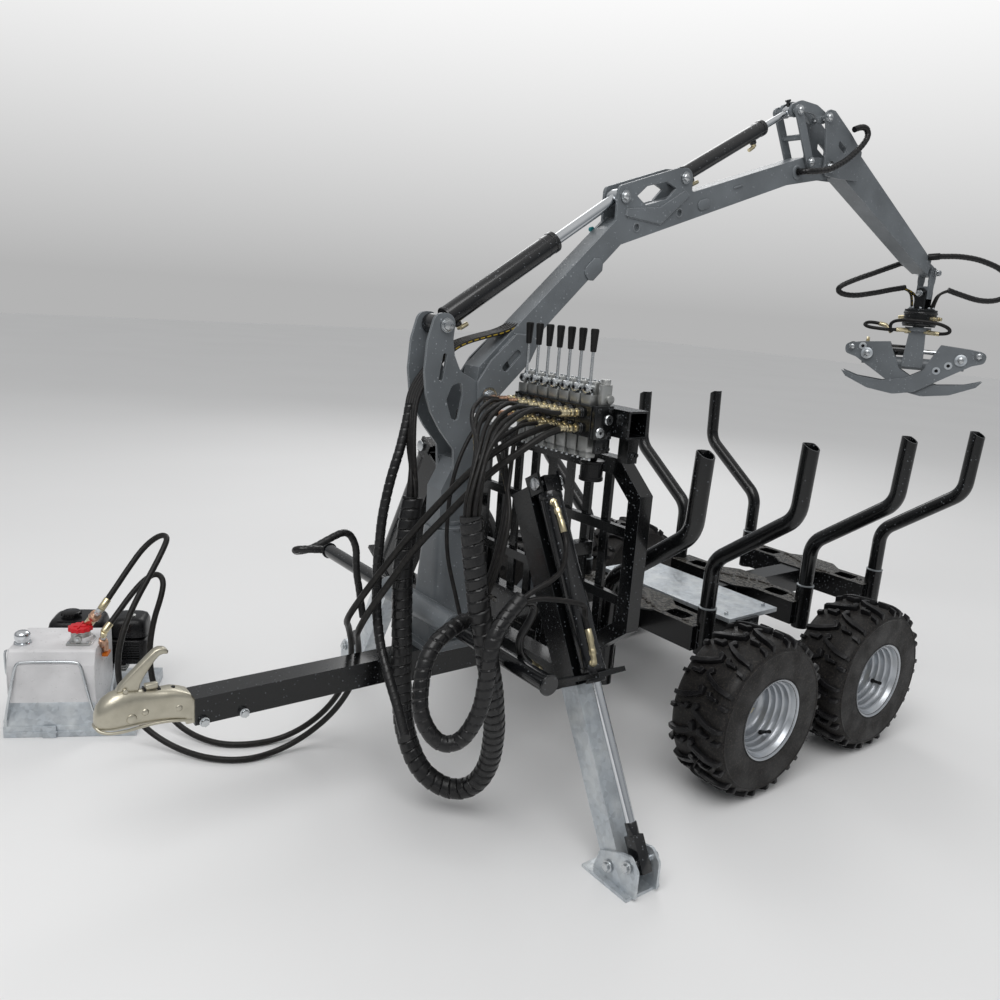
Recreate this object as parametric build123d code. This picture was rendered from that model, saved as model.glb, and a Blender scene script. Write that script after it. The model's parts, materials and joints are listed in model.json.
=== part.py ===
"""Forestry crane trailer: a towed log trailer with a hydraulic loader crane.

Millimetres, +Z up, +X rearward from the ball coupling, +Y to the far side.
Heights are written above the ground and dropped by BALL_Z at export.
"""
import math
import os

from build123d import *

os.makedirs("parts", exist_ok=True)

# Main sizes
BALL_Z = 430.0          # ball centre above the ground
WHEEL_X = (1848.0, 2482.0)
WHEEL_Z = 280.0
TYRE_R = 280.0
RIM_FACE_Y = 727.0      # outer rim flange plane
BOLSTER_X = (1445.0, 1946.0, 2537.0, 3040.0)
BOLSTER_TOP = 455.0
STAKE_Y = 332.0
STAKE_R = 28.0
COLUMN_X = 1024.0
BOARD_X = (1340.0, 1390.0)

# crane pins in the crane's own plane (x, z)
PIN_A = (943.0, 1467.0)     # lift cylinder, lower
PIN_B = (1103.0, 1259.0)    # boom foot
PIN_C = (1622.0, 1909.0)    # lift cylinder, upper
PIN_D = (1898.0, 2003.0)    # outer cylinder, lower
PIN_E = (2462.0, 2317.0)    # outer cylinder, crank and arch link
PIN_F = (2647.0, 2322.0)    # arch link on the outer boom
PIN_G = (2695.0, 2147.0)    # outer boom hinge
PIN_H = (2569.0, 2148.0)    # crank foot
PIN_T = (3666.0, 1810.0)    # boom tip
CROSS_Z = 1715.0            # cross pin of the hanger
ROTOR_Z = 1539.0            # underside of the rotator

LEG_X = 1150.0
LEG_FOOT = (-775.0, 50.0)   # leg pin at the foot (y, z)
LEG_TILT = 29.0             # splay from upright, degrees

EPS = 0.03                  # fixed pins in their holes
RUN = 0.05                  # running fits

NODES = {}
FIXINGS = []
BLACK_BARRELS = []


def node(name, *shapes):
    """Collects the solids of one named piece."""
    solids = []
    for shape in shapes:
        solids.extend(shape.solids())
    NODES[name] = Compound(children=solids) if len(solids) > 1 else solids[0]


def block(x0, x1, y0, y1, z0, z1):
    size = Box(abs(x1 - x0), abs(y1 - y0), abs(z1 - z0))
    return Pos((x0 + x1) / 2, (y0 + y1) / 2, (z0 + z1) / 2) * size


def rod(start, end, radius):
    a, b = Vector(*start), Vector(*end)
    span = b - a
    return Plane(origin=a + span * 0.5, z_dir=span) * Cylinder(radius, span.length)


def rod_y(x, z, radius, y0, y1):
    return rod((x, y0, z), (x, y1, z), radius)


def both(x, z, radius, y0, y1):
    """The same stub on both sides of the middle plane."""
    return rod_y(x, z, radius, y0, y1) + rod_y(x, z, radius, -y1, -y0)


def outline(points, to3d):
    """Closed face; a point is (a, b) or (a, b, corner radius)."""
    flat = [Vector(p[0], p[1], 0) for p in points]
    radii = [p[2] if len(p) > 2 else 0.0 for p in points]
    count = len(flat)
    pieces = []
    for i, corner in enumerate(flat):
        to_prev = (flat[i - 1] - corner).normalized()
        to_next = (flat[(i + 1) % count] - corner).normalized()
        radius = radii[i]
        if radius <= 0:
            pieces.append((corner, None, corner))
            continue
        half = math.radians(to_prev.get_angle(to_next)) / 2
        reach = radius / math.tan(half)
        middle = corner + (to_prev + to_next).normalized() * (radius / math.sin(half))
        bulge = middle + (corner - middle).normalized() * radius
        pieces.append((corner + to_prev * reach, bulge, corner + to_next * reach))
    edges = []
    for i, (start, bulge, end) in enumerate(pieces):
        if bulge is not None:
            edges.append(Edge.make_three_point_arc(to3d(start), to3d(bulge), to3d(end)))
        following = pieces[(i + 1) % count][0]
        if (following - end).dot(flat[(i + 1) % count] - flat[i]) < -1e-6:
            raise ValueError(f"corner radii overlap after point {i}: {points[i]}")
        if (following - end).length > 1e-4:
            edges.append(Edge.make_line(to3d(end), to3d(following)))
    return Face(Wire(edges))


def slab_y(points, y0, y1):
    """Plate with its outline in x, z."""
    face = outline(points, lambda v: Vector(v.X, y0, v.Y))
    return Part(Solid.extrude(face, Vector(0, y1 - y0, 0)).wrapped)


def pair_y(points, y0, y1):
    return slab_y(points, y0, y1) + slab_y(points, -y1, -y0)


def slab_x(points, x0, x1):
    """Plate with its outline in y, z."""
    face = outline(points, lambda v: Vector(x0, v.X, v.Y))
    return Part(Solid.extrude(face, Vector(x1 - x0, 0, 0)).wrapped)


def slab_z(points, z0, z1):
    """Plate with its outline in x, y."""
    face = outline(points, lambda v: Vector(v.X, v.Y, z0))
    return Part(Solid.extrude(face, Vector(0, 0, z1 - z0)).wrapped)


def link_points(p, q, rp, rq):
    """Outline of a straight bar with a round end about each pin."""
    a, b = Vector(p[0], p[1], 0), Vector(q[0], q[1], 0)
    along = (b - a).normalized()
    side = Vector(-along.Y, along.X, 0)
    rows = ((a - along * rp - side * rp, rp), (b + along * rq - side * rq, rq),
            (b + along * rq + side * rq, rq), (a - along * rp + side * rp, rp))
    return [(v.X, v.Y, r * 0.98) for v, r in rows]


def between(p, q, distance):
    """Point at a distance from p towards q, in x, z."""
    length = math.hypot(q[0] - p[0], q[1] - p[1])
    return (p[0] + (q[0] - p[0]) * distance / length, p[1] + (q[1] - p[1]) * distance / length)


def rod_xz(p, q, radius, d0, d1):
    """Round bar on the middle plane, between two distances from p."""
    a, b = between(p, q, d0), between(p, q, d1)
    return rod((a[0], 0, a[1]), (b[0], 0, b[1]), radius)


# Chassis
BEAM_HALF = 50.0


def make_frame():
    beam = block(206, 900, -40, 40, 360, 440) + block(880, 3100, -BEAM_HALF, BEAM_HALF, 350, 450)
    beam -= block(200, 3110, -34, 34, 366, 434)
    axle = block(2105, 2225, -345, 345, 370, 450)
    hangers = [slab_y([(2105, 450), (2105, 300), (2135, 245, 20), (2195, 245, 20), (2225, 300), (2225, 450)],
                      side * 345, side * 357) for side in (-1, 1)]
    for part in [axle] + hangers:
        beam += part
    for x, z in ((229, 370), (341, 370)):
        beam -= rod_y(x, z, 8 + EPS, -60, 60)
    beam -= block(900, 2080, -34, 34, 366, 434) + block(2250, 3110, -34, 34, 366, 434)
    node("frame_beam", beam)

    bolsters = []
    for x in BOLSTER_X:
        top = slab_z([(x - 60, -325), (x + 60, -325), (x + 60, -130), (x + 110, -70), (x + 110, 70),
                      (x + 60, 130), (x + 60, 325), (x - 60, 325), (x - 60, 130), (x - 110, 70),
                      (x - 110, -70), (x - 60, -130)], 449, BOLSTER_TOP)
        web = block(x - 60, x + 60, -325, 325, 362, 449) - block(x - 54, x + 54, -319, 319, 362, 449)
        webs = top + web
        for y in (-205, 205):
            webs -= slab_z([(x - 30, y - 45), (x + 30, y - 45), (x + 38, y), (x + 30, y + 45),
                            (x - 30, y + 45), (x - 38, y)], 440, 460)
        for side in (-1, 1):
            webs += rod((x, side * STAKE_Y, 345), (x, side * STAKE_Y, 521), 33)
            webs -= rod((x, side * STAKE_Y, 340), (x, side * STAKE_Y, 525), STAKE_R)
        webs -= block(x - 130, x + 130, -BEAM_HALF, BEAM_HALF, 340, 450)
        bolsters.append(webs)
    node("bolsters", *bolsters)


def make_stakes():
    path = FilletPolyline((0, STAKE_Y, 345), (0, STAKE_Y, 698), (0, 642, 930), (0, 652, 1175), radius=95)
    ring = Circle(STAKE_R) - Circle(STAKE_R - 4)
    tube = sweep(Plane(origin=(0, STAKE_Y, 345), z_dir=(0, 0, 1)) * ring, path=path)
    cut = Pos(0, 652, 1170) * Rot(-28, 0, 0) * Pos(0, 0, 60) * Box(200, 200, 120)
    tube = tube - cut
    stakes = []
    for x in BOLSTER_X:
        stakes.append(Pos(x, 0, 0) * tube)
        stakes.append(Pos(x, 0, 0) * mirror(tube, about=Plane.XZ))
    node("stakes", *stakes)


def make_deck():
    node("deck_plate", block(2070, 2350, -340, 340, 450, 458))


def make_coupling():
    body = slab_y([(-42, 392, 20), (-42, 455, 28), (30, 492, 30), (110, 478), (190, 455), (190, 372),
                   (100, 380), (50, 378, 10)], -32, 32)
    body += block(180, 360, -33.9, 33.9, 366.1, 433.9)
    body -= Pos(0, 0, BALL_Z) * Sphere(25.4)
    body -= rod((0, 0, 370), (0, 0, BALL_Z), 25.4)
    for x, z in ((229, 370), (341, 370)):
        body -= rod_y(x, z, 8 + EPS, -60, 60)
    node("coupling_body", body)
    FIXINGS.extend(rod_y(x, z, 8, -46, 46) + rod_y(x, z, 13, -48, -40) + rod_y(x, z, 13, 40, 48)
                   for x, z in ((229, 370), (341, 370)))


def make_headboard():
    outer = [(-418, 1115), (418, 1115), (522, 1021), (522, 600), (402, 503), (-402, 503), (-522, 600), (-522, 1021)]
    inner = [(-398, 1065), (398, 1065), (472, 999), (472, 622), (384, 553), (-384, 553), (-472, 622), (-472, 999)]
    x0, x1 = BOARD_X
    frame = slab_x(outer, x0, x1) - slab_x(inner, x0, x1)
    for z in (685, 898):
        frame += block(x0 + 5, x0 + 25, -472, 472, z - 15, z + 15)
    for i in range(9):
        y = -360 + 90 * i
        frame += block(x0 + 20, x0 + 32, y - 16, y + 16, 553, 1065)
    frame += block(x0, x0 + 45, -130, 130, BOLSTER_TOP + 0.02, 503)
    node("headboard", frame)


# Wheels
def make_wheels():
    rim_rows = [(0, 140), (6, 140), (8, 129), (38, 127), (46, 119), (62, 119), (68, 112), (96, 112),
                (102, 106), (140, 106), (146, 119), (172, 127), (203, 129), (205, 140), (211, 140)]
    inside = [(211, 135), (209, 124), (172, 122), (150, 112), (146, 101), (146, 48), (175, 48), (175, 20.05),
              (118, 20.05), (118, 44), (132, 60), (132, 98), (98, 101), (94, 107), (66, 107), (58, 114),
              (44, 114), (36, 122), (4, 124), (0, 135)]
    tyre_rows = [(8.0, 129.0), (6, 140), (6, 143), (0, 152), (-2, 200), (4, 240), (22, 262), (62, 269), (150, 269), (190, 262),
                 (208, 240), (214, 200), (211, 152), (205, 143), (205, 140), (203, 129.0)]
    tyre_in = [(172, 127), (146, 119), (160, 200), (150, 240), (106, 250), (60, 240), (50, 200), (46, 119), (38, 127)]

    def turned(rows):
        face = Face(Wire.make_polygon([Vector(r, s, 0) for s, r in rows], close=True))
        return Part(Solid.revolve(face, 360, Axis.Y).wrapped)

    rim = turned(rim_rows + inside)
    tyre = turned(tyre_rows + tyre_in)
    lugs = []
    for i in range(14):
        for row, offset in ((0, 0.0), (1, 0.5)):
            angle = 360.0 * (i + offset) / 14
            tilt = 32 if row == 0 else -32
            s = 64 if row == 0 else 148
            lug = Rot(0, angle, 0) * Pos(0, s, 0) * Pos(0, 0, 268) * Rot(0, 0, tilt) * Box(34, 100, 24)
            lugs.append(lug)
    band = Pos(0, 106, 0) * Rot(90, 0, 0) * Cylinder(TYRE_R, 240)
    tyre = tyre + [lug & band for lug in lugs]
    table = (("front_near", WHEEL_X[0], -1), ("rear_near", WHEEL_X[1], -1),
             ("front_far", WHEEL_X[0], 1), ("rear_far", WHEEL_X[1], 1))
    for name, x, side in table:
        place = Pos(x, side * RIM_FACE_Y, WHEEL_Z)
        turn = Rot(0, 0, 0) if side < 0 else Rot(0, 0, 180)
        node("rim_" + name, place * turn * rim)
        node("tyre_" + name, place * turn * tyre)

    beams, axles = [], []
    for side in (-1, 1):
        beam = slab_y([(WHEEL_X[0] - 45, 235, 20), (WHEEL_X[1] + 45, 235, 20), (WHEEL_X[1] + 45, 315, 20),
                       (2265, 325), (2065, 325), (WHEEL_X[0] - 45, 315, 20)], side * 385, side * 445)
        beam -= rod_y(2165, WHEEL_Z, 22 + EPS, side * 380, side * 450)
        for x in WHEEL_X:
            beam -= rod_y(x, WHEEL_Z, 30, side * 415, side * 450)
        beams.append(beam)
        axles.append(rod_y(2165, WHEEL_Z, 22, side * 357, side * 455) + rod_y(2165, WHEEL_Z, 36, side * 445, side * 460)
                     + rod_y(2165, WHEEL_Z, 36, side * 357, side * 385))
        for x in WHEEL_X:
            stub = rod_y(x, WHEEL_Z, 30, side * 415, side * 549) + rod_y(x, WHEEL_Z, 20, side * 549, side * 622)
            axles.append(stub)
    node("bogie_beams", *beams)
    FIXINGS.extend(axles)


# Stabiliser legs
def leg_plane(side):
    """Origin at the foot pin, z up along the leg, y inboard."""
    lean = math.radians(LEG_TILT)
    y, z = LEG_FOOT
    up = Vector(0, -side * math.sin(lean), math.cos(lean))
    return Plane(origin=(LEG_X, -side * y, z), x_dir=(1, 0, 0), z_dir=up)


def make_legs():
    sleeves, barrels, pins = [], [], []
    cross = block(LEG_X - 35, LEG_X + 35, -482, 482, 450, 520)
    cross -= block(LEG_X - 29, LEG_X + 29, -490, 490, 456, 514)
    outer_all = cross
    for side, tag in ((-1, "near"), (1, "far")):
        plane = leg_plane(side)
        inboard = 1 if side < 0 else -1
        outer = plane * Pos(0, 0, 790) * Box(86, 86, 590)
        collar = plane * Pos(0, -inboard * 52, 512) * Box(100, 214, 14)
        plates = [plane * Pos(dx, -inboard * 66, 1082) * Box(10, 60, 60) for dx in (-36, 36)]
        outer = outer + collar + plates
        outer -= plane * Pos(0, 0, 790) * Box(71.1, 71.1, 700)
        outer -= plane * Pos(0, -inboard * 80, 790) * Cylinder(35 + EPS, 535)
        outer -= plane * Pos(0, -inboard * 80, 520) * Cylinder(17, 60)
        outer -= plane * Pos(0, -inboard * 80, 1082) * Rot(0, 90, 0) * Cylinder(12 + EPS, 120)
        outer_all = outer_all + outer
        outer_all -= plane * Pos(0, 0, 790) * Box(71.1, 71.1, 700)
        barrel = plane * Pos(0, -inboard * 80, 785) * Cylinder(35, 530)
        barrel += plane * Pos(0, -inboard * 80, 1070) * Box(50, 50, 60)
        barrel -= plane * Pos(0, -inboard * 80, 790) * Cylinder(26, 480)
        barrel -= plane * Pos(0, -inboard * 80, 540) * Cylinder(14 + RUN, 60)
        barrel -= plane * Pos(0, -inboard * 80, 1082) * Rot(0, 90, 0) * Cylinder(12 + EPS, 120)
        barrels.append(barrel)
        pins.append(plane * Pos(0, -inboard * 80, 1082) * Rot(0, 90, 0) * Cylinder(12, 96))

        inner = plane * Pos(0, 0, 370) * Box(71, 71, 700)
        inner -= plane * Pos(0, 0, 380) * Box(61, 61, 702)
        inner += plane * Pos(0, 0, 14) * Box(71, 71, 28)
        foot = block(LEG_X - 65, LEG_X + 65, side * 690, side * 868, 0, 10)
        lug = [(side * 716, 10), (side * 880, 10), (side * 880, 90, 20), (side * 850, 122, 18), (side * 815, 112, 10),
               (side * 735, 75, 16)]
        for dx in (-46, 37):
            foot += slab_x(lug, LEG_X + dx, LEG_X + dx + 9)
        foot -= block(LEG_X - 36, LEG_X + 36, side * 650, side * 920, 10.5, 140)
        joint = plane * Rot(0, 90, 0) * Cylinder(10 + EPS, 160)
        eye = plane * Pos(0, -inboard * 80, 0) * Rot(0, 90, 0) * Cylinder(10 + EPS, 160)
        inner = inner - joint
        trim = block(LEG_X - 60, LEG_X + 60, side * 600, side * 1000, -60, 10.5)
        inner -= trim
        foot = foot - joint - eye
        node("leg_inner_" + tag, inner, foot)
        rod_end = plane * Pos(0, -inboard * 80, 350) * Cylinder(14, 560)
        rod_end += plane * Pos(0, -inboard * 80, 20) * Box(36, 40, 100) - trim
        rod_end += plane * Pos(0, -inboard * 80, 0) * Rot(0, 90, 0) * Cylinder(10, 104)
        node("leg_rod_" + tag, rod_end, plane * Rot(0, 90, 0) * Cylinder(10, 104))
    for side in (-1, 1):
        outer_all += block(LEG_X + 30, BOARD_X[0], side * 300, side * 340, 800, 840)
    for side in (-1, 1):
        plane = leg_plane(side)
        outer_all -= plane * Pos(0, 0, 790) * Box(71.1, 71.1, 700)
        inboard = 1 if side < 0 else -1
        outer_all -= plane * Pos(0, -inboard * 80, 790) * Cylinder(35 + EPS, 535)
    node("leg_sleeves", outer_all)
    BLACK_BARRELS.extend(barrels)
    FIXINGS.extend(pins)


# Slewing column
def make_column():
    base = loft([Plane(origin=(COLUMN_X, 0, 468)) * RectangleRounded(176, 168, 34),
                 Plane(origin=(COLUMN_X, 0, 838)) * RectangleRounded(138, 116, 34)])
    base += block(COLUMN_X - 114, COLUMN_X + 90, -95, 95, 450, 468)
    base += rod_y(930, 580, 38, -200, 200)
    base -= rod((COLUMN_X, 0, 600), (COLUMN_X, 0, 850), 45 + RUN)
    base -= both(930, 580, 25 + EPS, 150, 210)
    node("column_base", base)
    BLACK_BARRELS.extend([rod_y(930, 580, 25, 150, 655), rod_y(930, 580, 25, -655, -150)])

    post = slab_y([(963, 843), (963, 966), (993, 1021), (1010, 1060), (1117, 1060), (1117, 987), (1105, 843)], -40, 40)
    post += rod((COLUMN_X, 0, 610), (COLUMN_X, 0, 860), 45)
    horn = [(906, 1502, 34), (977, 1502, 32), (970, 1422, 60), (979, 1377, 60), (1003, 1332, 30), (1069, 1300, 20),
            (1146, 1302, 42), (1146, 1216, 30), (1118, 1170, 20), (1117, 1000), (1000, 1000), (993, 1093),
            (941, 1154, 60), (905, 1210, 60), (885, 1262, 60), (876, 1330, 60), (882, 1420, 60)]
    plates = pair_y(horn, 42, 52)
    windows = [[(938, 1385, 6), (953, 1385, 6), (940, 1303, 6), (925, 1303, 6)],
               [(975, 1290, 12), (1008, 1300, 10), (1016, 1262, 10), (1003, 1182, 8), (978, 1188, 8), (957, 1247, 10)],
               [(1058, 1205, 8), (1076, 1205, 8), (1084, 1148), (1054, 1148)]]
    for window in windows:
        plates -= slab_y(window, -60, 60)
    plates += block(1004, 1117, 40, 42, 1000, 1060) + block(1004, 1117, -42, -40, 1000, 1060)
    column = post + plates
    column -= rod_y(*PIN_A, 15 + EPS, -80, 80)
    column -= rod_y(*PIN_B, 20 + EPS, -80, 80)
    node("crane_column", column)
    node("column_pins", rod_y(*PIN_A, 15, -58, 58) + both(*PIN_A, 22, 52, 58),
         rod_y(*PIN_B, 20, -68, 68) + both(*PIN_B, 27, 63, 70))


# Crane cylinders
def make_cylinders():
    barrel = rod_xz(PIN_A, PIN_C, 33, 34, 504) + rod_xz(PIN_A, PIN_C, 24, 10, 40)
    barrel += rod_y(*PIN_A, 30, -38, 38)
    barrel -= rod_xz(PIN_A, PIN_C, 24, 60, 480)
    barrel -= rod_xz(PIN_A, PIN_C, 18 + RUN, 470, 510)
    barrel -= rod_y(*PIN_A, 15 + RUN, -60, 60)
    node("lift_barrel", barrel)
    node("lift_rod", rod_xz(PIN_A, PIN_C, 18, 330, 800) + rod_y(*PIN_C, 26, -24, 24))

    barrel = rod_xz(PIN_D, PIN_E, 27, 34, 479) + rod_xz(PIN_D, PIN_E, 20, 10, 40)
    barrel += rod_y(*PIN_D, 25, -24, 24)
    barrel -= rod_xz(PIN_D, PIN_E, 20, 60, 460)
    barrel -= rod_xz(PIN_D, PIN_E, 12 + RUN, 450, 485)
    barrel -= rod_y(*PIN_D, 15 + RUN, -60, 60)
    node("outer_barrel", barrel)
    node("outer_rod", rod_xz(PIN_D, PIN_E, 12, 265, 640) + rod_y(*PIN_E, 20, -14, 14))


# Inner boom
ROD_DRIFT = 58.0            # room under the lift rod's axis, for its radius and the drift of its eye


def lift_rod_relief():
    """Slot between the cheeks that the lift rod needs at both ends of the boom's travel."""
    length = math.hypot(PIN_A[0] - PIN_C[0], PIN_A[1] - PIN_C[1])
    ux, uz = (PIN_A[0] - PIN_C[0]) / length, (PIN_A[1] - PIN_C[1]) / length
    corners = [(PIN_C[0] + ux * d - uz * side * ROD_DRIFT, PIN_C[1] + uz * d + ux * side * ROD_DRIFT)
               for d, side in ((0, -1), (130, -1), (130, 1), (0, 1))]
    return slab_y(corners, -24, 24)


def make_inner_boom():
    box = slab_y([(1070, 1262, 30), (1078, 1345), (1188, 1449), (1617, 1852), (2550, 2165), (2738, 2186, 36),
                  (2738, 2112, 36), (2460, 2050), (1624, 1756), (1358, 1503), (1146, 1290), (1136, 1226, 30)], -38, 38)
    cheeks = [(1594, 1830), (1592, 1938, 24), (1866, 2032), (1936, 2040, 34), (1940, 1960, 10), (1990, 1975), (1990, 1890),
              (1624, 1760), (1560, 1790)]
    cheek = pair_y(cheeks, 28, 38)
    window = [(1679, 1917), (1720, 1953), (1812, 1980), (1861, 1964), (1822, 1924), (1722, 1893)]
    boom = box + cheek
    boom -= slab_y(window, -60, 60)
    chevron = [(1639, 1873), (1789, 1893), (1904, 1962), (1926, 1947), (1798, 1839), (1632, 1849)]
    boom += pair_y(chevron, 38, 43)
    for x, z in ((1689, 1817), (1888, 1886)):
        boom -= both(x, z, 12, 30, 50)
    foot = [(1066, 1226, 34), (1062, 1300, 20), (1108, 1367), (1200, 1450, 12), (1262, 1446, 12), (1288, 1426, 10),
            (1258, 1365), (1150, 1262, 10), (1138, 1220, 34)]
    foot_plate = pair_y(foot, 54, 62)
    foot_plate -= slab_y([(1145, 1345, 10), (1205, 1405, 10), (1225, 1390, 10), (1165, 1330, 10)], -70, 70)
    fill = pair_y([(1150, 1395), (1205, 1446), (1262, 1442), (1284, 1424), (1252, 1366), (1205, 1325)], 38, 54)
    boom += foot_plate + fill
    for pin, radius in ((PIN_B, 20 + RUN), (PIN_D, 15 + EPS), (PIN_H, 12.5 + EPS), (PIN_G, 15 + EPS)):
        boom -= rod_y(*pin, radius, -90, 90)
    boom -= both(*PIN_C, 15 + EPS, 20, 60) + rod_y(*PIN_C, 66, -28, 28)
    boom -= lift_rod_relief()
    node("inner_boom", boom)
    node("inner_boom_pins", both(*PIN_C, 15, 28, 44) + both(*PIN_C, 21, 38, 44),
         rod_y(*PIN_D, 15, -44, 44) + both(*PIN_D, 21, 38, 44),
         rod_y(*PIN_H, 12.5, -57, 57) + both(*PIN_H, 18, 53, 58),
         rod_y(*PIN_G, 15, -60, 60) + both(*PIN_G, 22, 54, 60))


# Outer boom
def make_outer_boom():
    ear = [(2618, 2352, 28), (2684, 2352, 28), (2810, 2288), (2900, 2232), (2900, 2120), (2760, 2112, 20),
           (2662, 2112, 30), (2662, 2190, 20), (2640, 2290, 20)]
    boom = pair_y(ear, 44, 52)
    boom += slab_y([(2800, 2285), (2900, 2231), (3541, 1900), (3610, 1862), (3596, 1800), (3480, 1840), (2815, 2125)], -38, 38)
    boom += slab_y([(2830, 2262), (2900, 2224), (2900, 2126), (2830, 2150)], -44, 44)
    boom += slab_y([(3590, 1872), (3690, 1834, 22), (3690, 1784, 22), (3580, 1806)], -19, 19)
    boom -= slab_y([(2735, 2255, 8), (2790, 2230, 8), (2790, 2205, 8), (2735, 2228, 8)], -70, 70)
    boom -= rod_y(*PIN_F, 12.5 + EPS, -80, 80)
    boom -= rod_y(*PIN_G, 15 + RUN, -80, 80)
    boom -= rod_y(*PIN_T, 12 + RUN, -80, 80)
    node("outer_boom", boom)
    node("outer_boom_pins", rod_y(*PIN_F, 12.5, -56, 56) + both(*PIN_F, 18, 52, 57))

    crank = pair_y(link_points(PIN_E, PIN_H, 20, 20), 43, 51)
    crank -= rod_y(*PIN_H, 12.5 + RUN, -80, 80)
    crank += both(*PIN_E, 12.5, 30, 56) + both(*PIN_E, 18, 51, 56)
    middle = ((PIN_E[0] + PIN_H[0]) / 2, (PIN_E[1] + PIN_H[1]) / 2)
    crank += rod_y(*middle, 11, -47, 47)
    node("crank_links", crank)

    arch = [(2442, 2297, 19), (2482, 2297, 19), (2520, 2326, 40), (2590, 2326, 40), (2630, 2300, 19), (2668, 2303, 19),
            (2668, 2342, 19), (2600, 2362, 60), (2500, 2362, 60), (2442, 2337, 19)]
    plates = pair_y(arch, 16, 26)
    plates -= rod_y(*PIN_F, 12.5 + RUN, -80, 80)
    plates += block(2535, 2575, -16, 16, 2336, 2354)
    node("arch_link", plates)


# Hanger, rotator, grapple
GRAPPLE = Plane(origin=(PIN_T[0], 0, ROTOR_Z), x_dir=(math.cos(math.radians(-62.8)), math.sin(math.radians(-62.8)), 0),
                z_dir=(0, 0, 1))
CLAW_PIVOT = (205.0, -120.0)
CLAW_EAR = (277.0, -95.0)


def make_hanger():
    x, z = PIN_T
    link = pair_y([(x - 25, z + 25, 24), (x + 25, z + 25, 24), (x + 25, 1770), (x + 20, 1756), (x + 20, 1700),
                   (x - 20, 1700), (x - 20, 1756), (x - 25, 1770)], 21, 30)
    link += block(x - 20, x + 20, -30, 30, 1690, 1748)
    link -= rod((x - 60, 0, CROSS_Z), (x + 60, 0, CROSS_Z), 12 + RUN)
    link += rod_y(x, z, 12, -36, 36) + both(x, z, 18, 30, 36)
    node("hanger_link", link)

    head = Pos(x, 0, 1600) * Cylinder(72, 80)
    for dx in (-32, 22):
        head += slab_x([(-25, 1640), (25, 1640), (25, 1740, 22), (-25, 1740, 22)], x + dx, x + dx + 10)
    head += Pos(x, 0, 1636) * Cylinder(60, 16)
    head -= Pos(x, 0, 1580) * Cylinder(25 + RUN, 70)
    head += rod((x - 40, 0, CROSS_Z), (x + 40, 0, CROSS_Z), 12)
    for x0, x1 in ((x - 40, x - 32), (x + 32, x + 40)):
        head += rod((x0, 0, CROSS_Z), (x1, 0, CROSS_Z), 18)
    node("rotator_head", head)


def make_grapple():
    place = GRAPPLE.location
    px, pz = CLAW_PIVOT
    ex, ez = CLAW_EAR
    beam = Pos(0, 0, 9) * Cylinder(58, 18) + Pos(0, 0, 42) * Cylinder(25, 48)
    beam += pair_y([(-35, 4), (35, 4), (45, -138), (-45, -138)], 29, 36)
    beam += rod((-190, 0, -155), (190, 0, -155), 28)
    for u, half in ((0, 45), (-px, 20), (px, 20)):
        beam += block(u - half, u + half, -36, 36, -170, -130)
    for u in (-px, px):
        beam += both(u, pz, 27, 29, 36) + both(u, pz, 14, 29, 66) + both(u, pz, 20, 61, 66)
    node("grapple_frame", place * beam)

    claw = [(112, -57, 6), (242, -68, 40), (312, -80, 24), (304, -126, 22), (254, -142), (147, -210), (30, -286, 60),
            (-64, -304, 60), (-182, -286, 60), (-288, -239), (-311, -210), (-241, -233), (-123, -245), (-17, -222),
            (54, -180, 20), (71, -139)]
    right = pair_y(claw, 52, 60) + rod_y(100, -205, 11, -52, 52)
    right -= rod_y(px, pz, 14 + RUN, -100, 100)
    right += both(ex, ez, 12, 44, 64) + both(ex, ez, 18, 60, 64)
    left = mirror(pair_y(claw, 40, 48), about=Plane.YZ) + rod_y(-100, -205, 11, -40, 40)
    left -= rod_y(-px, pz, 14 + RUN, -100, 100)
    left += rod_y(-ex, ez, 12, -51, 51)
    node("claw_right", place * right)
    node("claw_left", place * left)

    barrel = rod((-250, 0, ez), (20, 0, ez), 25) + rod_y(-ex, ez, 24, -20, 20) + rod((-262, 0, ez), (-245, 0, ez), 18)
    barrel -= rod((-225, 0, ez), (5, 0, ez), 19)
    barrel -= rod((0, 0, ez), (25, 0, ez), 12 + RUN)
    barrel -= rod_y(-ex, ez, 12 + RUN, -60, 60)
    node("grapple_barrel", place * barrel)
    node("grapple_rod", place * (rod((-15, 0, ez), (268, 0, ez), 12) + rod_y(ex, ez, 22, -20, 20)))


# Valve block
LEVER_Y = [-102 - 49.2 * i for i in range(7)]
VALVE_END = -85.0            # inboard face of the block, clear of the lowered boom


def make_valve():
    rail = block(1262, 1338, -520, -90, 1192, 1272) - block(1268, 1332, -530, -80, 1198, 1266)
    for y in (-470, -140):
        rail += block(1300, 1340, y - 20, y + 20, 1115, 1192)
    body = block(1190, 1262.1, -440, VALVE_END, 1188, 1276) + rail
    for y in LEVER_Y[:-1]:
        body -= block(1186, 1196, y - 26, y - 23, 1180, 1280)
    node("valve_body", body)
    caps, levers, grips, fittings = [], [], [], []
    for y in LEVER_Y:
        caps.append(block(1205, 1250, y - 16, y + 16, 1276, 1318) + block(1227, 1258, y - 14, y + 14, 1318, 1342))
        caps.append(block(1208, 1248, y - 16, y + 16, 1120, 1188))
        levers.append(rod((1216, y, 1318), (1216, y, 1450), 5) + rod((1216, y, 1318), (1216, y, 1330), 9))
        grips.append(rod((1216, y, 1425), (1216, y, 1490), 12) - rod((1216, y, 1400), (1216, y, 1450), 5 + EPS))
        for z in (1210, 1254):
            fittings.append(rod((1190, y, z), (1160, y, z), 12))
    node("valve_caps", *caps)
    node("valve_levers", *levers)
    node("valve_grips", *grips)
    node("valve_fittings", *fittings)


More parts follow.
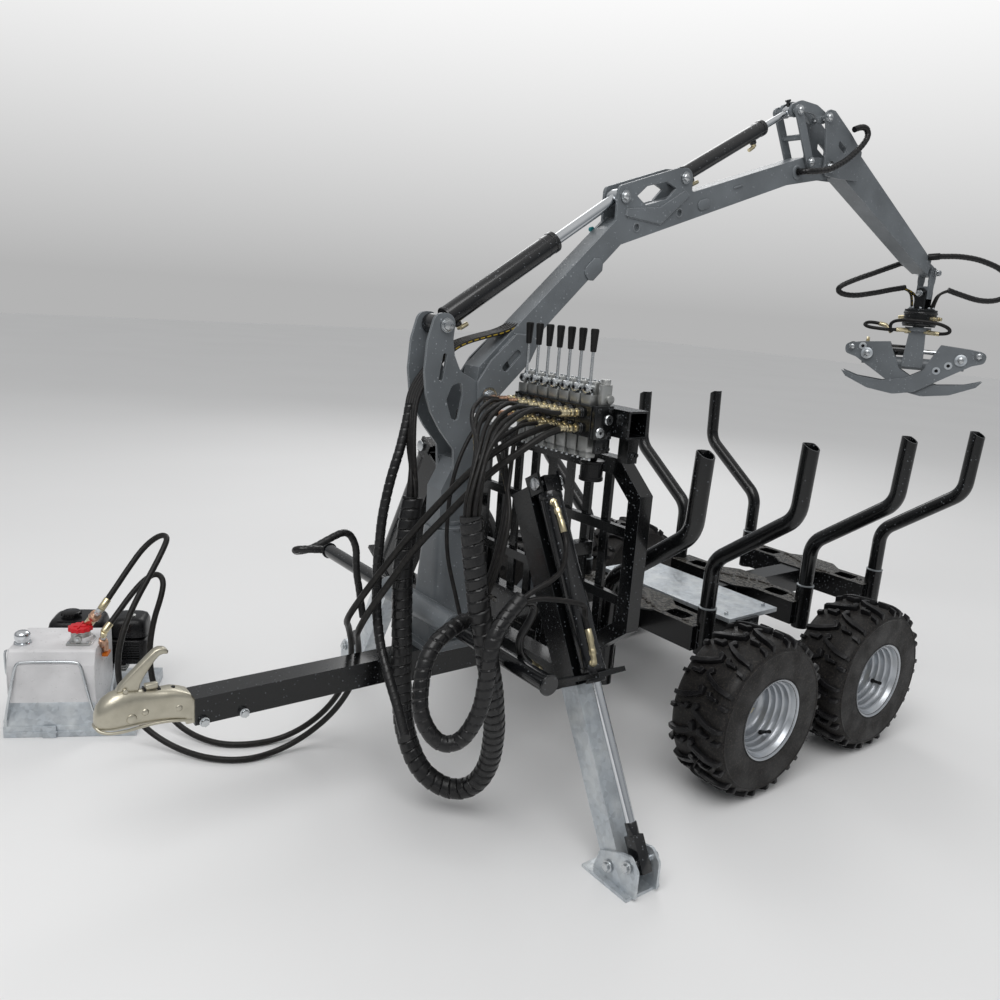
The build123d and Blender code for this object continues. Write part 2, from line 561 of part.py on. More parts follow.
# Power pack
PACK = Plane(origin=(-160, 840, 0), x_dir=(0.896, -0.445, 0), z_dir=(0, 0, 1))


def make_power_pack():
    place = PACK.location
    tray = block(0, 420, 0, 470, 0, 40) - block(6, 414, 6, 464, -1, 34)
    node("pack_tray", place * tray)
    tank = slab_x([(20, 40), (250, 40), (250, 300, 14), (40, 300, 14), (20, 250)], 15, 290)
    tank += Pos(235, 110, 302) * Box(66, 66, 4) + Pos(235, 110, 314) * Cylinder(30, 20)
    node("pack_tank", place * tank)
    crank_case = block(60, 260, 285, 440, 40, 200) + rod((250, 350, 130), (340, 350, 130), 55)
    node("pack_engine", place * crank_case)
    fuel = block(50, 250, 275, 445, 200, 300) + Pos(120, 360, 312) * Cylinder(28, 24)
    fuel += block(260, 400, 290, 440, 190, 300)
    node("pack_shroud", place * fuel)


# Hoses
# Each row: node name, outer radius, route above the ground.
HOSES = (
    ("bundle_outer", 32.0, ((807, -430, 993), (812, -450, 877), (821, -478, 738), (852, -490, 596), (908, -462, 429),
                            (955, -410, 263), (961, -350, 122), (901, -280, 72), (825, -210, 134), (801, -150, 256),
                            (803, -122, 400), (804, -112, 559), (799, -106, 717), (810, -100, 854), (832, -92, 966))),
    ("bundle_inner", 23.0, ((908, -545, 787), (851, -552, 748), (801, -565, 688), (790, -572, 586), (783, -560, 489),
                            (754, -530, 402), (698, -500, 392), (657, -470, 467), (667, -445, 549), (693, -430, 623),
                            (747, -420, 672), (824, -410, 690))),
    ("bundle_thin", 15.0, ((862, 0, 1229), (835, -20, 1133), (791, -40, 1039), (757, -52, 930), (743, -58, 810),
                           (735, -68, 707), (727, -90, 611), (721, -135, 519), (712, -215, 447), (690, -310, 400),
                           (660, -395, 372))),
    ("hose_stub", 11.0, ((697, -62, 600), (695, -40, 670), (690, -20, 740), (694, -12, 812), (660, -16, 862),
                         (602, -22, 846), (545, -28, 822), (496, -34, 822), (478, -60, 836), (502, -84, 842),
                         (550, -80, 834))),
    ("hose_supply_a", 10.0, ((1159.9, -397, 1210), (1122, -397, 1210), (1066, -394, 1194), (1001, -380, 1151), (920, -330, 1075),
                             (838, -270, 954), (776, -212, 852), (712, -165, 724), (676, -125, 636), (690, -40, 545),
                             (738, 48, 492), (775, 100, 405), (790, 150, 290), (755, 215, 160), (685, 275, 62),
                             (590, 300, 12), (470, 296, 11), (365, 370, 11), (285, 480, 24), (215, 560, 78),
                             (170, 590, 165), (152, 605, 265), (170, 635, 365), (228, 680, 468), (295, 712, 560),
                         (346, 745, 630), (374, 785, 662), (356, 824, 660), (306, 838, 618), (252, 822, 556),
                         (198, 802, 490), (148, 785, 430))),
    ("hose_supply_b", 10.0, ((1159.9, -348, 1210), (1124, -348, 1210), (1066, -358, 1202), (985, -348, 1172), (905, -300, 1098),
                             (826, -240, 980), (762, -185, 870), (700, -130, 748), (655, -92, 655), (668, -8, 575),
                             (722, 76, 518), (768, 138, 420), (790, 190, 300), (772, 262, 170), (722, 335, 66),
                             (632, 372, 12), (515, 388, 11), (420, 450, 11), (352, 560, 26), (306, 640, 84),
                             (282, 682, 175), (280, 705, 280), (302, 722, 385), (334, 738, 460),
                         (352, 766, 510), (338, 802, 528), (298, 816, 504), (248, 806, 456), (198, 786, 402),
                         (150, 764, 354))),
    ("hose_knee", 12.0, ((2518, -38.1, 2106), (2518, -74, 2106), (2556, -90, 2110), (2620, -92, 2122), (2690, -92, 2148), (2765, -92, 2190),
                         (2830, -92, 2240), (2872, -92, 2290), (2838, -86, 2322), (2785, -78, 2298))),
    ("hose_tip_left", 13.0, ((3560, 68, 1850), (3490, 110, 1815), (3412, 172, 1772), (3356, 222, 1738),
                             (3332, 246, 1712), (3350, 240, 1688), (3402, 205, 1682), (3468, 152, 1698),
                             (3540, 100, 1722),
                             (3610, 70, 1738))),
    ("hose_tip_right", 13.0, ((3600, -68, 1880), (3700, -110, 1893), (3800, -180, 1880), (3895, -240, 1842),
                              (3945, -275, 1780), (3925, -262, 1722), (3860, -212, 1694), (3795, -145, 1708),
                              (3725, -80, 1738))),
)


def hose(points, radius):
    """Round tube along straight runs, each corner as gentle as its runs allow."""
    corners = [Vector(*p) for p in points]
    bends = []
    for before, here, after in zip(corners, corners[1:], corners[2:]):
        half_turn = math.radians((here - before).get_angle(after - here)) / 2
        shorter = min((here - before).length, (after - here).length)
        bends.append(0.45 * shorter / math.tan(half_turn))
    path = FilletPolyline(*corners, radius=bends)
    tube = sweep(Plane(origin=corners[0], z_dir=corners[1] - corners[0]) * Circle(radius), path=path)
    return tube, path.length, min(bends)


def make_hoses():
    for name, radius, points in HOSES:
        tube, length, tightest = hose(points, radius)
        share = tube.volume / (math.pi * radius ** 2 * length)
        print(name, "length", round(length), "tightest bend", round(tightest), "volume share", round(share, 4))
        node(name, tube)


make_frame()
make_stakes()
make_deck()
make_coupling()
make_headboard()
make_wheels()
make_legs()
make_column()
make_cylinders()
make_inner_boom()
make_outer_boom()
make_hanger()
make_grapple()
make_valve()
make_power_pack()
make_hoses()

node("fixings", *FIXINGS)
node("barrels", *BLACK_BARRELS)

for name, shape in NODES.items():
    export_step(Pos(0, 0, -BALL_Z) * shape, "parts/" + name + ".step")
print(len(NODES), "nodes")
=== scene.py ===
"""Looks of a forestry crane trailer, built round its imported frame.

Sizes are in millimetres and heights are above the ground. X runs rearward from the ball coupling, Y to the
far side. A Mould turns them into the frame's metres when its piece is finished.
"""
from __future__ import annotations

import json
import logging
import math
from dataclasses import dataclass
from enum import Enum
from typing import Callable, Iterable, Optional, Sequence

import bmesh
import bpy
from mathutils import Matrix, Vector

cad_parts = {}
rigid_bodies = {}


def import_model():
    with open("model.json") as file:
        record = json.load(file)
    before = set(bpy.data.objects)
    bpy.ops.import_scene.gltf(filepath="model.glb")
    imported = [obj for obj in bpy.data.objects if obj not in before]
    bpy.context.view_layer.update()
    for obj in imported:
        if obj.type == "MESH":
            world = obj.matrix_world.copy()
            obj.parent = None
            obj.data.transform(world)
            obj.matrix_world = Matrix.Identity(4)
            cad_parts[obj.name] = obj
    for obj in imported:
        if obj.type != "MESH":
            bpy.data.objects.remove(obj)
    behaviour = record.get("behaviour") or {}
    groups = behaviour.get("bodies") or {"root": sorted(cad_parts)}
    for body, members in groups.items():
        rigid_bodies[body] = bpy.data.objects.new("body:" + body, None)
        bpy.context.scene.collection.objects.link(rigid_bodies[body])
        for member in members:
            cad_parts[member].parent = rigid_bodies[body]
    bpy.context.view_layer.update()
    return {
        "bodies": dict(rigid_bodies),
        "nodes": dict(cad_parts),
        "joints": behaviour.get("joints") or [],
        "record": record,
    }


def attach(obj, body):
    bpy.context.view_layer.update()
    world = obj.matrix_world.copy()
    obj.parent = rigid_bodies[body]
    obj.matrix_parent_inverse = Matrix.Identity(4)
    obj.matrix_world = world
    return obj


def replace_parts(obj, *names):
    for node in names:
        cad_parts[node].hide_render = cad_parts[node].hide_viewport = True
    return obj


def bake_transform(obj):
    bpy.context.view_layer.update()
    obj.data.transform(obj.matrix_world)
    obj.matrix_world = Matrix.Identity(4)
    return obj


LOG = logging.getLogger("trailer")
BALL_HEIGHT = 430.0
TO_FRAME = Matrix.Translation((0.0, 0.0, -BALL_HEIGHT / 1000)) @ Matrix.Scale(0.001, 4)
Point = Sequence[float]


class Body(Enum):
    """Bodies of the frame that a piece can ride on."""

    CHASSIS = "chassis"
    LEG_NEAR = "leg_near"
    LEG_FAR = "leg_far"
    COLUMN = "column"
    LIFT_BARREL = "lift_barrel"
    INNER_BOOM = "inner_boom"
    OUTER_BARREL = "outer_barrel"
    OUTER_ROD = "outer_rod"
    OUTER_BOOM = "outer_boom"
    CRANK = "crank"
    HANGER = "hanger"
    ROTATOR = "rotator"
    GRAPPLE = "grapple"
    CLAW_RIGHT = "claw_right"
    CLAW_LEFT = "claw_left"
    GRAPPLE_BARREL = "grapple_barrel"
    WHEEL_FRONT_NEAR = "wheel_front_near"
    WHEEL_REAR_NEAR = "wheel_rear_near"
    WHEEL_FRONT_FAR = "wheel_front_far"
    WHEEL_REAR_FAR = "wheel_rear_far"


# Finishes


def linear(code: str) -> tuple[float, float, float, float]:
    """Turns an sRGB hex colour into linear values.

    Args:
        code: Colour such as "#6E7378".

    Returns:
        Red, green, blue and a full alpha.
    """
    parts = [int(code[i:i + 2], 16) / 255 for i in (1, 3, 5)]
    red, green, blue = (c / 12.92 if c <= 0.04045 else ((c + 0.055) / 1.055) ** 2.4 for c in parts)
    return red, green, blue, 1.0


def add(tree: bpy.types.NodeTree, kind: str, inputs: Optional[dict] = None,
        **settings: object) -> bpy.types.Node:
    """Adds a shader node with its settings and links.

    Args:
        tree: Node tree that gets the node.
        kind: Node type without its ShaderNode prefix.
        inputs: Values or sockets by input name or number.
        settings: Properties of the node.

    Returns:
        The new node.
    """
    node = tree.nodes.new("ShaderNode" + kind)
    for name, value in settings.items():
        setattr(node, name, value)
    for key, value in (inputs or {}).items():
        if isinstance(value, bpy.types.NodeSocket):
            tree.links.new(value, node.inputs[key])
        else:
            node.inputs[key].default_value = value
    return node


@dataclass(frozen=True)
class Finish:
    """What every finish has; each kind adds its own pattern in dress."""

    name: str
    base: str
    roughness: float
    metallic: float = 0.0
    coat: float = 0.0
    specular: float = 0.5

    def material(self) -> bpy.types.Material:
        """Makes the material once and returns it.

        Returns:
            The material of this finish.
        """
        found = bpy.data.materials.get(self.name)
        if found:
            return found
        material = bpy.data.materials.new(self.name)
        material.use_nodes = True
        tree = material.node_tree
        shader = tree.nodes["Principled BSDF"]
        shader.inputs["Base Color"].default_value = linear(self.base)
        shader.inputs["Roughness"].default_value = self.roughness
        shader.inputs["Metallic"].default_value = self.metallic
        shader.inputs["Coat Weight"].default_value = self.coat
        shader.inputs["Specular IOR Level"].default_value = self.specular
        shader.inputs["Coat Roughness"].default_value = 0.08
        self.dress(tree, shader, add(tree, "TexCoord").outputs["Object"])
        material.diffuse_color = linear(self.base)
        return material

    def dress(self, tree: bpy.types.NodeTree, shader: bpy.types.Node, place: bpy.types.NodeSocket) -> None:
        """Adds the pattern of the finish.

        Args:
            tree: Node tree of the material.
            shader: Its Principled shader.
            place: Object coordinates in metres.
        """
        raise NotImplementedError


def rain(tree: bpy.types.NodeTree, place: bpy.types.NodeSocket, spacing: float) -> bpy.types.NodeSocket:
    """Beads of water: domes of mixed sizes on a random grid.

    Args:
        tree: Node tree of the material.
        place: Object coordinates in metres.
        spacing: Distance between beads in metres.

    Returns:
        Height of the water, 0 where the surface is dry.
    """
    cells = add(tree, "TexVoronoi", {"Vector": place, "Scale": 1 / spacing, "Randomness": 1.0})
    size = add(tree, "SeparateColor", {"Color": cells.outputs["Color"]})
    reach = add(tree, "MapRange", {"Value": size.outputs["Red"], "From Min": 0.35, "From Max": 1.0,
            "To Min": 0.02, "To Max": 0.34})
    share = add(tree, "Math", {0: cells.outputs["Distance"], 1: reach.outputs["Result"]}, operation="DIVIDE")
    return add(tree, "MapRange", {"Value": share.outputs[0], "From Min": 0.45, "From Max": 1.0, "To Min": 1.0,
            "To Max": 0.0}, interpolation_type="SMOOTHSTEP").outputs["Result"]


@dataclass(frozen=True)
class PaintedSteel(Finish):
    """Enamel or powder coat on steel plate: slight orange peel, painted highlights on its thin edges, beads
    of rain with painted highlights on them.
    """

    # colour of the painted highlight along the edges, and below it how strongly that highlight shows
    edge: str = "#A9ADB0"
    edge_highlight_share: float = 0.7
    bead_spacing: float = 0.011   # beads of 3 to 5 mm, about as fine as the render can show
    # colour of the painted highlight on the rain beads, and below it how strongly that highlight shows
    bead_highlight_colour: str = "#C8CDD2"
    bead_highlight_share: float = 0.35
    bark: float = 0.0             # depth in metres of the bark crumbs stuck to upward faces

    def dress(self, tree: bpy.types.NodeTree, shader: bpy.types.Node, place: bpy.types.NodeSocket) -> None:
        """Adds cloudy tone, orange peel, painted edge highlights, and rain with painted highlights on the
        beads.
        """
        cloud = add(tree, "TexNoise", {"Vector": place, "Scale": 7.0, "Detail": 3.0})
        tone = add(tree, "MapRange", {"Value": cloud.outputs["Fac"], "From Min": 0.3, "From Max": 0.7,
                "To Min": 0.82, "To Max": 1.12})
        paint = add(tree, "Mix", {0: 1.0, 6: linear(self.base), 7: tone.outputs["Result"]}, data_type="RGBA",
                blend_type="MULTIPLY")
        arris = add(tree, "Bevel", {"Radius": 0.0022}, samples=4)
        face = add(tree, "NewGeometry")
        turn = add(tree, "VectorMath", {0: arris.outputs["Normal"], 1: face.outputs["Normal"]},
                operation="DOT_PRODUCT")
        # painted edge highlight: the edge colour is mixed in where the rounded normal turns away from the
        # face
        edge_highlight_mask = add(tree, "MapRange", {"Value": turn.outputs["Value"], "From Min": 0.97, "From Max": 0.8,
                "To Min": 0.0, "To Max": self.edge_highlight_share})
        edged = add(tree, "Mix", {0: edge_highlight_mask.outputs["Result"], 6: paint.outputs[2], 7: linear(self.edge)},
                data_type="RGBA")
        beads = rain(tree, place, self.bead_spacing)
        # painted highlight: the rain beads are tinted lighter
        wet = add(tree, "Math", {0: beads, 1: self.bead_highlight_share}, operation="MULTIPLY")
        colour = add(tree, "Mix", {0: wet.outputs[0], 6: edged.outputs[2], 7: linear(self.bead_highlight_colour)},
                data_type="RGBA").outputs[2]
        rough = add(tree, "MapRange", {"Value": beads, "From Min": 0.0, "From Max": 1.0,
                "To Min": self.roughness, "To Max": 0.08})
        peel = add(tree, "TexNoise", {"Vector": place, "Scale": 260.0, "Detail": 1.0})
        skin = add(tree, "Bump", {"Height": peel.outputs["Fac"], "Strength": 0.12, "Distance": 0.0006,
                "Normal": arris.outputs["Normal"]})
        bumps = add(tree, "Bump", {"Height": beads, "Strength": 0.7, "Distance": 0.0012,
                "Normal": skin.outputs["Normal"]})
        last = bumps
        if self.bark:
            up = add(tree, "SeparateXYZ", {0: face.outputs["Normal"]})
            level = add(tree, "MapRange", {"Value": up.outputs["Z"], "From Min": 0.75, "From Max": 0.95})
            crumbs = add(tree, "TexVoronoi", {"Vector": place, "Scale": 75.0, "Randomness": 1.0})
            grit = add(tree, "TexNoise", {"Vector": place, "Scale": 120.0, "Detail": 5.0, "Roughness": 0.7})
            pile = add(tree, "Math", {0: crumbs.outputs["Distance"], 1: grit.outputs["Fac"]}, operation="ADD")
            cover = add(tree, "MapRange", {"Value": pile.outputs[0], "From Min": 0.75, "From Max": 1.15})
            litter = add(tree, "Math", {0: cover.outputs["Result"], 1: level.outputs["Result"]},
                    operation="MULTIPLY")
            colour = add(tree, "Mix", {0: litter.outputs[0], 6: colour, 7: linear("#55524C")},
                    data_type="RGBA").outputs[2]
            depth = add(tree, "Math", {0: pile.outputs[0], 1: level.outputs["Result"]}, operation="MULTIPLY")
            last = add(tree, "Bump", {"Height": depth.outputs[0], "Strength": 1.0, "Distance": self.bark,
                    "Normal": bumps.outputs["Normal"]})
        tree.links.new(colour, shader.inputs["Base Color"])
        tree.links.new(rough.outputs["Result"], shader.inputs["Roughness"])
        tree.links.new(last.outputs["Normal"], shader.inputs["Normal"])


@dataclass(frozen=True)
class ZincCoat(Finish):
    """Zinc on steel: a mosaic of grey crystals, cloudy whitish bloom and beads of rain."""

    crystal: float = 0.014        # crystal width in metres
    bloom: str = "#DDE0E0"

    def dress(self, tree: bpy.types.NodeTree, shader: bpy.types.Node, place: bpy.types.NodeSocket) -> None:
        """Adds crystals, bloom and rain."""
        cells = add(tree, "TexVoronoi", {"Vector": place, "Scale": 1 / self.crystal, "Randomness": 1.0})
        grey = add(tree, "SeparateColor", {"Color": cells.outputs["Color"]})
        tone = add(tree, "MapRange", {"Value": grey.outputs["Red"], "To Min": 0.84, "To Max": 1.08})
        metal = add(tree, "Mix", {0: 1.0, 6: linear(self.base), 7: tone.outputs["Result"]}, data_type="RGBA",
                blend_type="MULTIPLY")
        cloud = add(tree, "TexNoise", {"Vector": place, "Scale": 16.0, "Detail": 4.0})
        haze = add(tree, "MapRange", {"Value": cloud.outputs["Fac"], "From Min": 0.42, "From Max": 0.72,
                "To Max": 0.6})
        colour = add(tree, "Mix", {0: haze.outputs["Result"], 6: metal.outputs[2], 7: linear(self.bloom)},
                data_type="RGBA")
        beads = rain(tree, place, 0.012)
        rough = add(tree, "MapRange", {"Value": grey.outputs["Green"], "To Min": self.roughness - 0.08,
                "To Max": self.roughness + 0.1})
        bumps = add(tree, "Bump", {"Height": beads, "Strength": 0.2, "Distance": 0.001})
        tree.links.new(colour.outputs[2], shader.inputs["Base Color"])
        tree.links.new(rough.outputs["Result"], shader.inputs["Roughness"])
        tree.links.new(bumps.outputs["Normal"], shader.inputs["Normal"])


@dataclass(frozen=True)
class BareMetal(Finish):
    """Turned, cast or plated metal: fine grain and a slightly uneven tone."""

    grain: float = 0.004          # grain width in metres
    relief: float = 0.0002        # grain depth in metres
    shade: str = "#3A3A38"
    soil: float = 0.25            # share of grime in the hollows of the pattern

    def dress(self, tree: bpy.types.NodeTree, shader: bpy.types.Node, place: bpy.types.NodeSocket) -> None:
        """Adds grain and grime."""
        grain = add(tree, "TexNoise", {"Vector": place, "Scale": 1 / self.grain, "Detail": 3.0})
        cloud = add(tree, "TexNoise", {"Vector": place, "Scale": 22.0, "Detail": 4.0})
        grime = add(tree, "MapRange", {"Value": cloud.outputs["Fac"], "From Min": 0.45, "From Max": 0.75,
                "To Max": self.soil})
        colour = add(tree, "Mix", {0: grime.outputs["Result"], 6: linear(self.base), 7: linear(self.shade)},
                data_type="RGBA")
        rough = add(tree, "MapRange",
                {"Value": grain.outputs["Fac"], "To Min": max(self.roughness - 0.07, 0.03),
                "To Max": self.roughness + 0.07})
        bumps = add(tree, "Bump", {"Height": grain.outputs["Fac"], "Strength": 0.6, "Distance": self.relief})
        tree.links.new(colour.outputs[2], shader.inputs["Base Color"])
        tree.links.new(rough.outputs["Result"], shader.inputs["Roughness"])
        tree.links.new(bumps.outputs["Normal"], shader.inputs["Normal"])


@dataclass(frozen=True)
class MouldedRubber(Finish):
    """Moulded rubber or plastic: matt and glossy patches, dry dust, fine pores."""

    specular: float = 0.25
    dust: str = "#4A4540"
    dust_share: float = 0.3
    speckle: float = 0.006        # width of the dust specks in metres
    relief: float = 0.0005

    def dress(self, tree: bpy.types.NodeTree, shader: bpy.types.Node, place: bpy.types.NodeSocket) -> None:
        """Adds dust specks and wet patches."""
        specks = add(tree, "TexNoise", {"Vector": place, "Scale": 1 / self.speckle, "Detail": 4.0,
                "Roughness": 0.75})
        dry = add(tree, "MapRange", {"Value": specks.outputs["Fac"], "From Min": 0.5, "From Max": 0.72,
                "To Max": self.dust_share})
        colour = add(tree, "Mix", {0: dry.outputs["Result"], 6: linear(self.base), 7: linear(self.dust)},
                data_type="RGBA")
        patches = add(tree, "TexNoise", {"Vector": place, "Scale": 14.0, "Detail": 3.0})
        rough = add(tree, "MapRange", {"Value": patches.outputs["Fac"], "From Min": 0.35, "From Max": 0.65,
                "To Min": max(self.roughness - 0.14, 0.1), "To Max": self.roughness + 0.12})
        bumps = add(tree, "Bump", {"Height": specks.outputs["Fac"], "Strength": 0.5, "Distance": self.relief})
        tree.links.new(colour.outputs[2], shader.inputs["Base Color"])
        tree.links.new(rough.outputs["Result"], shader.inputs["Roughness"])
        tree.links.new(bumps.outputs["Normal"], shader.inputs["Normal"])


@dataclass(frozen=True)
class HydraulicHose(Finish):
    """Rubber hose cover: satin black, cloth-like weave, and a broken marking line along one side."""

    specular: float = 0.25
    line: str = "#B59A34"
    line_share: float = 0.0       # 0 for a hose whose line doesn't show

    def dress(self, tree: bpy.types.NodeTree, shader: bpy.types.Node, place: bpy.types.NodeSocket) -> None:
        """Adds weave, dust and the marking line, which follow the hose through its own map."""
        along = add(tree, "UVMap", uv_map="run")
        split = add(tree, "SeparateXYZ", {0: along.outputs["UV"]})
        off = add(tree, "Math", {0: split.outputs["X"], 1: 0.5}, operation="SUBTRACT")
        side = add(tree, "Math", {0: off.outputs[0]}, operation="ABSOLUTE")
        band = add(tree, "Math", {0: side.outputs[0], 1: 0.045}, operation="LESS_THAN")
        dash = add(tree, "Math", {0: split.outputs["Y"], 1: 0.012}, operation="PINGPONG")   # 12 mm strokes
        lit = add(tree, "Math", {0: dash.outputs[0], 1: 0.0042}, operation="GREATER_THAN")
        mark = add(tree, "Math", {0: band.outputs[0], 1: lit.outputs[0]}, operation="MULTIPLY")
        share = add(tree, "Math", {0: mark.outputs[0], 1: self.line_share}, operation="MULTIPLY")
        specks = add(tree, "TexNoise", {"Vector": place, "Scale": 90.0, "Detail": 3.0})
        dusty = add(tree, "MapRange", {"Value": specks.outputs["Fac"], "From Min": 0.5, "From Max": 0.8,
                "To Max": 0.25})
        cover = add(tree, "Mix", {0: dusty.outputs["Result"], 6: linear(self.base), 7: linear("#4B4743")},
                data_type="RGBA")
        colour = add(tree, "Mix", {0: share.outputs[0], 6: cover.outputs[2], 7: linear(self.line)},
                data_type="RGBA")
        bumps = add(tree, "Bump", {"Height": specks.outputs["Fac"], "Strength": 0.4, "Distance": 0.0004})
        tree.links.new(colour.outputs[2], shader.inputs["Base Color"])
        tree.links.new(bumps.outputs["Normal"], shader.inputs["Normal"])


# In the painted steel finishes below, the edge colour is a painted highlight along the edges and the bead
# colour is a painted highlight on the rain beads.
# Powder coated steel plate of the crane: an even mid grey with a soft sheen.
GREY = PaintedSteel("grey powder coated steel", "#6B7074", 0.38, edge="#B4B8BB", bead_highlight_share=0.4)
# Black gloss enamel of the chassis: deep black that mirrors the sky between the drops.
BLACK = PaintedSteel("black gloss enamel on steel", "#0A0B0C", 0.24, coat=0.15, specular=0.4, edge="#565A5E",
        edge_highlight_share=0.5, bead_highlight_colour="#8E959C", bead_highlight_share=0.3)
# The same enamel where logs lie: bark crumbs and grit give a rough wet top.
BLACK_BARK = PaintedSteel("black enamel with bark crumbs", "#0B0B0C", 0.26, coat=0.1, specular=0.4,
        edge="#4C4F52", edge_highlight_share=0.4, bead_highlight_colour="#8E959C", bead_highlight_share=0.25, bark=0.006)
BLACK_CYLINDER = PaintedSteel("black painted cylinder tube", "#0F1012", 0.22, coat=0.25, edge="#4C4F52",
        edge_highlight_share=0.3, bead_highlight_colour="#8E959C", bead_highlight_share=0.3)
# Hot dip galvanised sheet and box tube: pale, cool, faintly mottled.
GALVANISED = ZincCoat("hot dip galvanised steel", "#BCC2C7", 0.36, metallic=0.6)
# Electroplated zinc: smoother and a little bluer.
ZINC = ZincCoat("zinc plated steel", "#C3C7CA", 0.26, metallic=0.95, crystal=0.05)
# Yellowish passivated zinc on the pressed coupling.
YELLOW_ZINC = BareMetal("passivated zinc on pressed steel", "#BDB8A8", 0.36, metallic=0.9, grain=0.006,
        relief=0.0005, shade="#77705C")
PIN_STEEL = BareMetal("bright plated pin steel", "#C9CCCE", 0.24, metallic=1.0, soil=0.15)
# Hard chrome of the piston rods: a clean mirror.
CHROME = BareMetal("hard chrome on piston rod", "#D5D8DB", 0.09, metallic=1.0, relief=0.00002, soil=0.06)
# Silver wheel enamel: metal flakes give a bright satin.
RIM = BareMetal("silver wheel enamel", "#B9BDC2", 0.33, metallic=0.75, grain=0.002, relief=0.00008,
        shade="#7B7770", soil=0.25)
TYRE = MouldedRubber("wet tyre rubber", "#141416", 0.36, dust="#3B3733", dust_share=0.35)
SIDEWALL = MouldedRubber("dusty tyre sidewall", "#1B1A1A", 0.52, dust="#5A544D", dust_share=0.45)
CAST_ALUMINIUM = BareMetal("cast aluminium", "#B5B6B4", 0.42, metallic=0.9, grain=0.003, relief=0.0004,
        shade="#5F5E5A", soil=0.35)
BRASS = BareMetal("yellow passivated fitting", "#D6CAA8", 0.3, metallic=1.0, soil=0.2, shade="#6B5330")
COPPER = BareMetal("copper coloured ferrule", "#C09A82", 0.32, metallic=1.0, soil=0.2, shade="#5E3C2A")
GRIP = MouldedRubber("black moulded grip", "#121212", 0.45, dust_share=0.08)
PLASTIC = MouldedRubber("black moulded plastic", "#111113", 0.3, dust_share=0.1, relief=0.0002)
HOSE = HydraulicHose("hydraulic hose cover", "#181717", 0.4)
HOSE_LINED = HydraulicHose("hydraulic hose cover with line", "#1A1918", 0.42, line_share=0.85)
WRAP = MouldedRubber("spiral wrap of black plastic", "#141415", 0.32, specular=0.4, dust="#3C3A38",
        dust_share=0.2, relief=0.0003)
TANK = PaintedSteel("light grey tank enamel", "#D6D5D6", 0.35, edge="#EAEAEA", edge_highlight_share=0.4,
        bead_highlight_colour="#E6E6E6", bead_highlight_share=0.1)
RED_CAP = MouldedRubber("red moulded cap", "#C8202A", 0.35, dust="#A01A22", dust_share=0.2, relief=0.0002)
TEAL = MouldedRubber("teal moulded plug", "#1F7F86", 0.4, dust="#17565C", dust_share=0.2)
ORANGE = MouldedRubber("orange moulded handle", "#C86A1E", 0.4, dust="#8A4714", dust_share=0.2)
# Wet flakes of bark on the bolsters.
BARK = MouldedRubber("wet bark", "#2B2724", 0.5, dust="#6A6157", dust_share=0.5, relief=0.001)
WELD = BareMetal("bare weld bead", "#8E9396", 0.4, metallic=0.6, grain=0.003, relief=0.001, soil=0.3)


# Shaping


def spline(points: Sequence[Point], steps: int = 10) -> list[Vector]:
    """Reads the line of a NURBS spline through a route's points.

    Args:
        points: Route in millimetres.
        steps: Points read for each point of the route.

    Returns:
        Points of the smooth line, in millimetres.
    """
    curve = bpy.data.curves.new("route", "CURVE")
    curve.dimensions = "3D"
    curve.resolution_u = steps
    run = curve.splines.new("NURBS")
    run.points.add(len(points) - 1)
    for spot, (x, y, z) in zip(run.points, points):
        spot.co = (x, y, z, 1.0)
    run.order_u = 3
    run.use_endpoint_u = True
    holder = bpy.data.objects.new("route", curve)
    mesh = bpy.data.meshes.new_from_object(holder)
    line = [vertex.co.copy() for vertex in mesh.vertices]
    bpy.data.objects.remove(holder)
    bpy.data.curves.remove(curve)
    bpy.data.meshes.remove(mesh)
    return line


def frames_along(line: Sequence[Vector]) -> list[Matrix]:
    """Frames that follow a line without twisting.

    Args:
        line: Points of the line.

    Returns:
        A matrix for each point, its z axis along the line.
    """
    last = len(line) - 1
    ways = [(line[min(i + 1, last)] - line[max(i - 1, 0)]).normalized() for i in range(last + 1)]
    turn = ways[0].to_track_quat("Z", "Y")
    frames = []
    for i, spot in enumerate(line):
        if i:
            turn = ways[i - 1].rotation_difference(ways[i]) @ turn
        frames.append(Matrix.Translation(spot) @ turn.to_matrix().to_4x4())
    return frames


def aim(origin: Point, axis: Point) -> Matrix:
    """Frame at a point with its z axis along a direction."""
    turn = Vector(axis).to_track_quat("Z", "Y").to_matrix().to_4x4()
    return Matrix.Translation(Vector(origin)) @ turn


